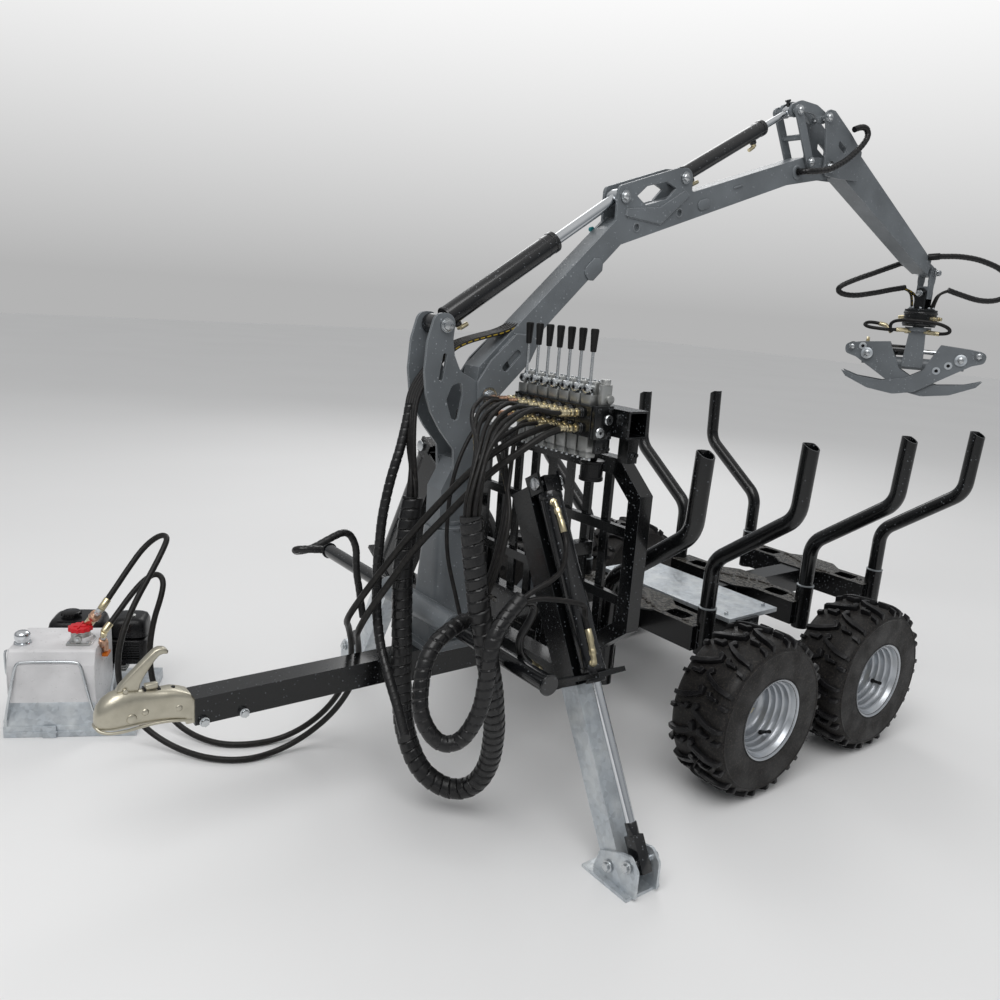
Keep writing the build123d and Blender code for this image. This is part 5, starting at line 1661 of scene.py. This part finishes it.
@dataclass
class PowerPack(Assembly):
    """Petrol engine, pump and oil tank on a folded tray."""

    origin: tuple[float, float] = (-160.0, 840.0)
    heading: float = math.atan2(-0.445, 0.896)
    tank_ends: tuple[float, float] = (15.0, 290.0)      # the oil tank's limits along x
    tank_height: float = 300.0
    fuel_middle: tuple[float, float] = (150.0, 360.0)
    filter_middle: tuple[float, float] = (330.0, 365.0)

    def place(self) -> Matrix:
        """Frame of the pack: x to the right along its front, y to its back."""
        return Matrix.Translation((*self.origin, 0)) @ Matrix.Rotation(self.heading, 4, "Z")

    def build(self) -> None:
        """Makes the pieces of the pack and gives its nodes their finish."""
        self.coat(GALVANISED, "pack_tray")
        self.coat(TANK, "pack_tank")
        self.coat(CAST_ALUMINIUM, "pack_engine")
        self.coat(PLASTIC, "pack_shroud")
        self.tray_front()
        self.tank_top()
        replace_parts(self.fuel_tank(), "pack_shroud")
        self.air_filter()
        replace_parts(self.engine(), "pack_engine")
        self.couplers()

    def tray_front(self) -> None:
        """Makes the sloping front sheet, the folded edge, the latch and the bent rod guard."""
        place = self.place()
        sheet, guard = Mould(), Mould()
        slope = place @ Matrix(((1, 0, 0, 0), (0, 0.24, -0.97, 1.5), (0, 0.97, 0.24, 36), (0, 0, 0, 1)))
        sheet.plate([(2, 0), (302, 0), (286, 84), (16, 84)], slope, 2.0, edge=0.6)
        sheet.block((0.8, -1.2, 0), (304, 2, 42), 1.0, place=place)
        sheet.block((3, -4, 17), (304, -0.6, 22), 1.2, place=place)
        sheet.block((124, -9, -0.0), (168, -2, 44), 2.0, place=place)
        sheet.block((118, -11, 18), (172, -6, 26), 1.5, place=place)
        sheet.block((300, -2, 0), (424, 3, 42), 1.2, place=place)
        for x in (4, 288):
            sheet.block((x - 1, -3, 40), (x + 11, 18, 66), 2.0, place=place)
        sheet.plate([(0, 0), (10, 0), (64, 200), (56, 204)],
                place @ Matrix(((0.5, 0, -0.866, 300), (0.866, 0, 0.5, 120), (0, 1, 0, 40), (0, 0, 0, 1))),
                3.0)
        route = [(9, -1, 50), (9, -1, 62), (20, 5, 130), (36, 15, 222), (44, 20, 258), (60, 22, 264),
                (143, 22, 265), (226, 22, 264), (244, 20, 258), (254, 15, 222), (276, 4, 130), (298, -6, 62),
                (298, -6, 52)]
        guard.tube([place @ spot for spot in spline(route, 10)], 4.6, sides=14)
        side = [(14, 70, 286), (2, 70, 286), (-6, 70, 280), (-6, 72, 240), (-6, 74, 200), (2, 74, 192),
                (14, 74, 192)]
        guard.tube([place @ spot for spot in spline(side, 8)], 4.0, sides=12)
        sheet.piece("tray_front", GALVANISED)
        guard.piece("tank_guard", ZINC)

    def tank_top(self) -> None:
        """Makes breather, filler flange, red cap and the folded seams of the tank."""
        place = self.place()
        top = self.tank_height
        breather, flange, cap, bolts, seams = (Mould() for _ in range(5))
        breather.turned([(0, 0), (0, 27), (3, 28), (5, 27), (6, 21), (14, 21), (15, 24), (18, 25), (32, 25),
                (39, 22), (44, 14), (45.5, 0)], (42, 100, top), (0, 0, 1), sides=40, place=place)
        flange.block((186, 72, top - 0.5), (264, 150, top + 8), 3.0, place=place)
        flange.turned([(0, 0), (0, 35), (4, 32), (30, 31), (34, 34), (38, 34), (38, 0)], (225, 111, top + 7),
                (0, 0, 1), sides=40, place=place)
        flange.bar((225, 82, top + 24), (225, 70, top + 24), 12.0, sides=24, edge=1.2, place=place)
        bolts.bar((225, 71, top + 24), (225, 66, top + 24), 6.0, sides=6, edge=0.6, place=place)
        for x in (194, 256):
            for y in (80, 142):
                bolts.bar((x, y, top + 7), (x, y, top + 13), 5.5, sides=6, edge=0.6, place=place)
        count = 12
        crown = []
        for i in range(count * 6):
            turn = 2 * math.pi * i / (count * 6)
            reach = 38.0 + 2.6 * math.cos(count * turn)
            crown.append((225 + reach * math.cos(turn), 111 + reach * math.sin(turn)))
        lift = place @ Matrix.Translation((0, 0, top + 44))
        cap.plate(crown, lift, 15.0, edge=2.4)
        cap.block((222, 80, top + 58), (228, 142, top + 64), 1.5, place=place)
        cap.block((205, 100, top + 58), (245, 122, top + 62), 2.0, place=place)
        for x in (self.tank_ends[0] + 1, self.tank_ends[1] - 1):
            line = [Vector((x, y, z)) for y, z in ((24, 60), (19, 160), (20, 246), (38, 296), (44, 302))]
            seams.tube([place @ spot for spot in spline(line, 6)], 2.2, sides=8)
        breather.piece("tank_breather", CHROME)
        flange.piece("filler_flange", CAST_ALUMINIUM)
        cap.piece("filler_cap", RED_CAP)
        bolts.piece("filler_bolts", ZINC)
        seams.piece("tank_seams", TANK)

    def box_rows(self, middle: tuple[float, float], rows: Iterable[tuple[float, float, float]],
            square: float) -> list[tuple[Matrix, float, float, float]]:
        """Sections of a moulded housing.

        Args:
            middle: Its middle in the pack's frame.
            rows: Height and half sizes of each section.
            square: Squareness of the sections.

        Returns:
            Rows for Mould.skin.
        """
        place = self.place()
        return [(place @ Matrix.Translation((*middle, z)), a, b, square) for z, a, b in rows]

    def fuel_tank(self) -> bpy.types.Object:
        """Makes the fuel tank with its seam flange and ribbed cap.

        Returns:
            The tank.
        """
        tank, cap = Mould(), Mould()
        rows = [(196, 78, 62), (199, 86, 70), (208, 92, 76), (240, 98, 83), (243, 106, 90), (249, 107, 91),
                (252, 98, 84), (262, 97, 83), (288, 90, 76), (297, 84, 70), (302, 74, 60), (303, 60, 46)]
        tank.skin(self.box_rows(self.fuel_middle, rows, 5.0), sides=64)
        tank.block((92, 292, 298), (208, 300, 304), 2.0, place=self.place())
        profile = [(0, 0), (0, 36), (3, 36), (4, 30), (9, 29), (10, 33), (20, 33), (23, 29), (24, 0)]
        cap.turned(profile, (128, 345, 301), (0, 0, 1), sides=36, place=self.place())
        for i in range(12):
            turn = 2 * math.pi * i / 12
            spot = Vector((128 + 33 * math.cos(turn), 345 + 33 * math.sin(turn), 311))
            cap.bar(spot, spot + Vector((0, 0, 9)), 3.6, sides=10, edge=0.8, place=self.place())
        cap.piece("fuel_cap", PLASTIC)
        return tank.piece("fuel_tank", PLASTIC)

    def air_filter(self) -> None:
        """Makes the air filter box over the louvred silencer cover."""
        place = self.place()
        box, knob, cover = Mould(), Mould(), Mould()
        rows = [(232, 58, 60), (236, 66, 68), (280, 63, 65), (296, 56, 58), (303, 44, 46), (304, 30, 32)]
        box.skin(self.box_rows(self.filter_middle, rows, 4.5), sides=56)
        knob.turned([(0, 0), (0, 17), (5, 16), (8, 9), (16, 9), (18, 6), (18, 0)], (336, 352, 302), (0, 0, 1),
                sides=24, place=place)
        rows = [(128, 60, 56), (134, 68, 64), (200, 72, 68), (222, 70, 66), (229, 62, 58), (230, 50, 46)]
        cover.skin(self.box_rows((328, 362), rows, 5.0), sides=56)
        for i in range(7):
            z = 150 + 10 * i
            cover.block((286, 291, z), (372, 300, z + 4), 1.2, place=place)
        box.piece("air_filter_box", PLASTIC)
        knob.piece("air_filter_knob", CAST_ALUMINIUM)
        cover.piece("silencer_cover", PLASTIC)

    def engine(self) -> bpy.types.Object:
        """Makes crankcase, finned cylinder, starter and pump.

        Returns:
            The crankcase.
        """
        place = self.place()
        case, fins, starter = Mould(), Mould(), Mould()
        rows = [(40, 88, 70), (52, 92, 74), (58, 84, 66), (120, 82, 64), (170, 76, 58), (196, 70, 52)]
        case.skin(self.box_rows((160, 362), rows, 5.0), sides=56)
        case.turned([(0, 0), (0, 58), (10, 60), (26, 58), (32, 40), (44, 36), (44, 0)], (240, 350, 126),
                (1, 0, 0), sides=40, place=place)
        for i in range(9):
            z = 100 + 10 * i
            fins.block((246, 304, z), (322, 420, z + 3.5), 1.2, place=place)
        fins.block((256, 314, 96), (312, 410, 190), 3.0, place=place)
        starter.turned([(0, 0), (0, 62), (6, 66), (24, 64), (38, 50), (44, 30), (46, 0)], (84, 362, 124),
                (-1, 0, 0), sides=44, place=place)
        starter.block((84, 270, 52), (150, 300, 96), 4.0, place=place)
        for x in (100, 140, 180, 220):
            starter.bolt(place @ Vector((x, 296, 70)), place.to_3x3() @ Vector((0, -1, 0)), 10.0)
        fins.piece("cylinder_fins", CAST_ALUMINIUM)
        starter.piece("starter_cover", PLASTIC)
        return case.piece("crankcase", CAST_ALUMINIUM)

    def couplers(self) -> None:
        """Makes the couplings at the ends of the supply hoses and the tap's orange handle."""
        brass, copper, zinc, handle = Mould(), Mould(), Mould(), Mould()
        end, foot = Vector((148, 785, 430)), Vector((111, 866, 340))
        way = (foot - end).normalized()
        back = Vector((198, 802, 490)) - end
        brass.bar(end + back.normalized() * 38, end - back.normalized() * 2, 12.5, sides=24, edge=1.2)
        zinc.bar(end + back.normalized() * 2, end + way * 22, 13.0, sides=6, edge=1.2)
        zinc.bar(end + way * 16, end + way * 44, 11.0, sides=24, edge=1.2)
        copper.bar(end + way * 40, end + way * 60, 19.0, sides=32, edge=2.0)
        brass.bar(end + way * 58, end + way * 106, 15.5, sides=32, edge=1.6)
        brass.bar(end + way * 104, foot, 12.0, sides=24, edge=1.0)
        end, foot = Vector((150, 764, 354)), Vector((150, 800, 296))
        back = Vector((198, 786, 402)) - end
        way = (foot - end).normalized()
        brass.bar(end + back.normalized() * 34, end - back.normalized() * 2, 12.0, sides=24, edge=1.2)
        brass.bar(end, end + way * 26, 11.0, sides=6, edge=1.0)
        zinc.bar(end + way * 22, end + way * 44, 9.0, sides=20, edge=1.0)
        copper.bar(end + way * 42, foot + way * 8, 13.0, sides=28, edge=1.2)
        place = self.place()
        copper.bar((286, 122, 296), (306, 122, 290), 13.0, sides=28, edge=1.2, place=place)
        copper.bar((300, 122, 296), (300, 122, 262), 11.0, sides=28, edge=1.2, place=place)
        handle.block((292, 104, 246), (312, 146, 258), 3.0, place=place)
        handle.bar((302, 122, 256), (302, 122, 268), 8.0, sides=20, edge=1.0, place=place)
        brass.piece("coupler_bodies", BRASS)
        copper.piece("coupler_collars", COPPER)
        zinc.piece("coupler_unions", PIN_STEEL)
        handle.piece("tap_handle", ORANGE)


# Small hoses


@dataclass
class SmallHoses(Assembly):
    """Thin hoses from the valve bank to bundles, slewing base, boom and near leg."""

    radius: float = 6.5
    bundle_top: tuple[float, float, float] = (808.0, -436.0, 950.0)
    bundle_spread: float = 18.0     # radius of the ring that the hoses form in the bundle
    lower_fan: tuple[int, ...] = (1, 2, 3)

    def build(self) -> None:
        """Makes the fan, the hoses on the column and the boom, and the branches to the leg."""
        self.fan()
        self.column_run()
        self.boom_run()
        self.leg_branches()

    def line(self, mould: Mould, route: Sequence[Point], radius: float = 0.0) -> None:
        """Adds one hose.

        Args:
            mould: Mould that gets it.
            route: Its route.
            radius: Its radius, the usual one if left out.
        """
        mould.tube(spline(route, 8), radius or self.radius, sides=12)

    def fan(self) -> None:
        """Makes the hoses that leave the block's side and dive into the two bundles."""
        plain, lined = Mould(), Mould()
        end = Vector(self.bundle_top)
        arches = [(y, 1254.0) for y in ValveBank.levers] + [(ValveBank.levers[4], 1210.0)]
        for i, (y, z) in enumerate(arches):
            turn = 2 * math.pi * i / 7
            spread = 0.0 if i == 7 else self.bundle_spread
            off = Vector((spread * math.cos(turn), spread * math.sin(turn), 0))
            lift = 26.0 - 7.0 * (i % 3) - (34.0 if i == 7 else 0.0)
            reach = (y + 430) * 0.62 - 430
            route = [(1120, y, z), (1076, y, z + 1), (1010, (y + reach) / 2, z + lift * 0.7),
                    (920 - 4 * (i % 3), reach, z - 36 + lift * 0.5), (846, -402 + off.y * 1.3, 1130 + lift),
                    (812 + off.x, -430 + off.y, 1048), end + off + Vector((0, 4, 44)),
                    end + off - Vector((0, 6, 34))]
            self.line(lined if i in (1, 4, 6) else plain, route)
        for k, i in enumerate(self.lower_fan):
            y = ValveBank.levers[i]
            off = 14.0 * (k - 1)
            route = [(1120, y, 1210), (1080, y, 1206), (1016, y - 70, 1150), (962, -392 + off, 1010),
                    (916, -424 + off, 868), (868, -424 + off * 0.7, 742), (826, -414 + off * 0.6, 694),
                    (776, -410 + off * 0.5, 680)]
            self.line(plain if k else lined, route)
        y = ValveBank.levers[0]
        self.line(plain, [(1120, y, 1210), (1074, y, 1206), (996, -128, 1150), (934, -150, 1050),
                (918, -150, 930), (916, -160, 800), (926, -210, 680), (930, -240, 612)])
        plain.piece("fan_hoses", HOSE)
        lined.piece("fan_hoses_lined", HOSE_LINED)

    def column_run(self) -> None:
        """Makes the hoses that rise from the bundle to the column's horn; they ride on no body."""
        hoses = Mould()
        for i in range(5):
            turn = 2 * math.pi * i / 5
            off = Vector((13 * math.cos(turn), 13 * math.sin(turn), 0))
            across = -28.0 + 14.0 * i
            self.line(hoses, [Vector((828, -94, 930)) + off, Vector((833, -90, 985)) + off,
                    (838, -66 + across * 0.5, 1070), (848, -34 + across * 0.7, 1160), (866, across, 1246),
                    (908, across, 1318), (960, across, 1372)])
        hoses.piece("column_hoses", HOSE, None)
        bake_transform(bpy.data.objects["column_hoses"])

    def boom_run(self) -> None:
        """Makes the hoses that pass the boom's foot and lie on the inner boom."""
        hoses = Mould()
        for i in range(5):
            across = -28.0 + 14.0 * i
            self.line(hoses, [(952, across, 1364), (985, across, 1396), (1040, across, 1420),
                    (1110, across, 1438), (1190, across, 1456), (1266, across * 0.9, 1500),
                    (1340, across * 0.8, 1556)])
        hoses.piece("boom_hoses", HOSE_LINED, None)
        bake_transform(bpy.data.objects["boom_hoses"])

    def leg_branches(self) -> None:
        """Makes the branches from the inner bundle to the near leg's cylinder."""
        hoses, wrapped, ends = Mould(), Mould(), Mould()
        place = Leg(-1).place()
        low, high = place @ Vector((-27, 134, 606)), place @ Vector((-27, 134, 954))
        up = (place.to_3x3() @ Vector((0, 0, 1))).normalized()
        self.line(hoses, [(880, -550, 770), (930, -548, 800), (1000, -556, 826), (1070, -520, 842),
                high - up * 70, high - up * 34, high], 7.5)
        self.line(hoses, [(880, -548, 766), (935, -552, 786), (1010, -588, 780), (1080, -612, 762),
                low + up * 78, low + up * 34, low], 7.5)
        self.line(wrapped, [(884, -546, 768), (934, -540, 774), (968, -532, 748), (958, -524, 704),
                (930, -520, 664), (936, -516, 622), (962, -512, 588), (990, -508, 566)], 11.0)
        for tip, way in ((high, up), (low, -up)):
            ends.bar(tip - way * 34, tip + way * 2, 9.6, sides=20, edge=0.8)
        ends.bar((982, -509, 572), (1012, -505, 550), 12.0, sides=20, edge=1.0)
        ends.bar((1010, -505.4, 551.6), (1026, -503, 540), 13.0, sides=6, edge=1.0)
        hoses.piece("leg_hoses", HOSE)
        wrapped.piece("leg_wrapped_hose", WRAP)
        ends.piece("leg_hose_ends", BRASS)


# Grapple


@dataclass
class Grapple(Assembly):
    """Details of hanger link, rotator, grapple frame, claws and their cylinder."""

    origin: tuple[float, float, float] = (3666.0, 0.0, 1539.0)
    heading: float = -62.8          # degrees about the upright axis
    pivots: tuple[tuple[float, float], ...] = ((205.0, -120.0), (-205.0, -120.0))
    ears: tuple[tuple[float, float], ...] = ((277.0, -95.0), (-277.0, -95.0))

    def place(self) -> Matrix:
        """Frame of the grapple: x across the claws, y along its pins."""
        return Matrix.Translation(self.origin) @ Matrix.Rotation(math.radians(self.heading), 4, "Z")

    def build(self) -> None:
        """Makes the details and gives the nodes their finish."""
        self.coat(GREY, "grapple_frame", "claw_right", "claw_left")
        self.coat(BLACK_CYLINDER, "grapple_barrel")
        self.coat(CHROME, "grapple_rod")
        self.coat(BLACK, "rotator_head")
        self.pins()
        self.rotator()
        self.cylinder()
        self.hoses()

    def pins(self) -> None:
        """Makes washers and nuts on the pins of the claws."""
        place = self.place()
        washers, nuts, boom = Mould(), Mould(), Mould()
        for side in (-1, 1):
            for x, z in self.pivots:
                washers.turned([(-1.0, 12.0), (-1.0, 27.0), (2.4, 27.0), (3.0, 26.0), (3.0, 12.0)],
                        (x, side * 64, z), (0, side, 0), sides=36, closed=True, place=place)
                nuts.bar((x, side * 65, z), (x, side * 75, z), 16.0, sides=6, edge=1.4, place=place)
                nuts.bar((x, side * 74, z), (x, side * 79, z), 9.0, sides=20, edge=1.0, place=place)
            for x, z in self.ears:
                nuts.bar((x, side * 62, z), (x, side * 70, z), 14.0, sides=6, edge=1.2, place=place)
            boom.bolt((3666, side * 43.5, 1810) if side < 0 else (3666, 35.5, 1810), (0, side, 0), 24.0)
        washers.piece("claw_pin_washers", GALVANISED, Body.GRAPPLE)
        for body, face, spots in ((Body.CLAW_RIGHT, 60.0, ((157, -149), (110, -177))),
                (Body.CLAW_LEFT, 48.0, ((-229, -88),))):
            rings, eyes = Mould(), Mould()
            for side in (-1, 1):
                for x, z in spots:
                    rings.turned([(-1.0, 8.0), (-1.0, 17.5), (2.4, 17.5), (3.2, 16.5), (3.2, 8.0)],
                            (x, side * face, z), (0, side, 0), sides=32, closed=True, place=place)
                    eyes.bar((x, side * (face - 1), z), (x, side * (face + 2), z), 8.2, sides=6, place=place)
            rings.piece(f"{body.value}_washers", GALVANISED, body)
            eyes.piece(f"{body.value}_bushes", PLASTIC, body)
        nuts.piece("claw_pin_nuts", PIN_STEEL, Body.GRAPPLE)
        boom.piece("hanger_pin_bolts", PIN_STEEL, Body.HANGER)

    def rotator(self) -> None:
        """Makes the rotator's flange screws, its ports, the seal ring and the cross pin's bolt."""
        screws, rings, ports, cross = (Mould() for _ in range(4))
        x, y = self.origin[0], self.origin[1]
        rings.turned([(0, 60), (0, 74.5), (3, 75.5), (10, 75.5), (13, 74.5), (13, 60)], (x, y, 1566),
                (0, 0, 1), sides=56, closed=True)
        rings.turned([(0, 60), (0, 74.0), (2, 75.0), (8, 75.0), (10, 74.0), (10, 60)], (x, y, 1618),
                (0, 0, 1), sides=56, closed=True)
        for i in range(8):
            turn = 2 * math.pi * (i + 0.5) / 8
            spot = Vector((x + 50 * math.cos(turn), y + 50 * math.sin(turn), 1643.5))
            screws.bar(spot, spot + Vector((0, 0, 8)), 6.0, sides=18, edge=0.8)
        for side in (-1, 1):
            for way in (-1, 1):
                start = Vector((x + way * 22, y + side * 64, 1600))
                ports.bar(start, start + Vector((0, side * 20, 0)), 11.0, sides=6, edge=1.0)
                ports.bar(start + Vector((0, side * 18, 0)), start + Vector((0, side * 30, 0)), 8.4, sides=18,
                        edge=0.8)
            cross.bolt((x + side * 39.5, y, 1715), (side, 0, 0), 24.0)
        rings.piece("rotator_rings", BLACK_CYLINDER, Body.ROTATOR)
        screws.piece("rotator_screws", ZINC, Body.ROTATOR)
        ports.piece("rotator_ports", BRASS, Body.ROTATOR)
        cross.piece("cross_pin_bolts", PIN_STEEL, Body.HANGER)

    def cylinder(self) -> None:
        """Makes the grapple cylinder's rings and ports."""
        place = self.place()
        rings, ports = Mould(), Mould()
        for low, high, reach in ((-250.0, -236.0, 1.8), (-2.0, 22.0, 2.2), (-40.0, -37.0, 0.8)):
            rings.turned([(low, 22), (low, 24 + reach), (low + 1, 25 + reach), (high - 1, 25 + reach),
                    (high, 24 + reach), (high, 22)], (0, 0, -95), (1, 0, 0), sides=40, closed=True,
                    place=place)
        for x in (-214, -22):
            ports.bar((x, 0, -72), (x, 0, -58), 10.0, sides=6, edge=0.9, place=place)
            ports.bar((x, 0, -60), (x, 14, -48), 8.0, sides=18, edge=0.8, place=place)
        rings.piece("grapple_cylinder_rings", BLACK_CYLINDER, Body.GRAPPLE_BARREL)
        ports.piece("grapple_cylinder_ports", BRASS, Body.GRAPPLE_BARREL)

    def hoses(self) -> None:
        """Makes the two hose loops between the grapple frame and its cylinder."""
        place = self.place()
        loops, ends = Mould(), Mould()
        front = [(-112, -58, -12), (-124, -70, 12), (-112, -84, 40), (-60, -98, 48), (10, -102, 48),
                (84, -98, 42), (132, -86, 24), (140, -72, 4), (112, -62, -6), (76, -56, -6)]
        left = [(-80, -54, 2), (-116, -62, -2), (-168, -70, 0), (-218, -70, 4), (-240, -56, 16),
                (-222, -42, 28), (-180, -40, 26), (-150, -40, 20)]
        for route in (front, left):
            loops.tube([place @ spot for spot in spline(route, 10)], 8.0, sides=14)
        for start, end in (((96, -60, -6), (50, -46, -4)), ((-94, -58, 1), (-44, -44, 2)),
                ((-172, -40, 24), (-138, -40, 17))):
            ends.bar(start, end, 10.4, sides=20, edge=0.8, place=place)
        for x in (-1, 1):
            ends.bar((x * 52, -47, -2), (x * 24, -18, -2), 12.0, sides=6, edge=1.0, place=place)
        ends.bar((-140, -40, 18), (-112, -52, -14), 9.0, sides=18, edge=0.8, place=place)
        links = Mould()
        for route in ([(3592, 78, 1738), (3634, 58, 1728), (3646, 44, 1690), (3648, 40, 1646)],
                [(3600, 68, 1732), (3644, 40, 1718), (3660, 30, 1686), (3664, 34, 1646)],
                [(3736, -90, 1738), (3708, -62, 1728), (3694, -48, 1692), (3692, -42, 1646)],
                [(3742, -84, 1736), (3716, -50, 1722), (3704, -34, 1690), (3700, -28, 1646)]):
            links.tube(spline(route, 8), 6.2, sides=12)
        clamps = Mould()
        clamps.bar((3582, -34, 1876), (3612, -73, 1882), 15.5, sides=24, edge=1.5)
        clamps.bar((3582, 34, 1862), (3552, 73, 1846), 15.5, sides=24, edge=1.5)
        links.piece("rotator_hoses", HOSE_LINED, Body.HANGER)
        clamps.piece("tip_hose_sleeves", PLASTIC, Body.HANGER)
        loops.piece("grapple_hoses", HOSE, Body.GRAPPLE)
        ends.piece("grapple_hose_ends", BRASS, Body.GRAPPLE)


def main() -> None:
    """Builds the trailer's looks on its frame."""
    logging.basicConfig(level=logging.INFO, format="%(message)s")
    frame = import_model()
    nodes = frame["nodes"]
    Studio().build()
    for assembly in (Hoses, Chassis, Coupling, Wheels, Legs, Crane, ValveBank, PowerPack, SmallHoses,
            Grapple):
        LOG.info("building %s", assembly.__name__)
        assembly(nodes).build()


if __name__ == "__main__":
    main()
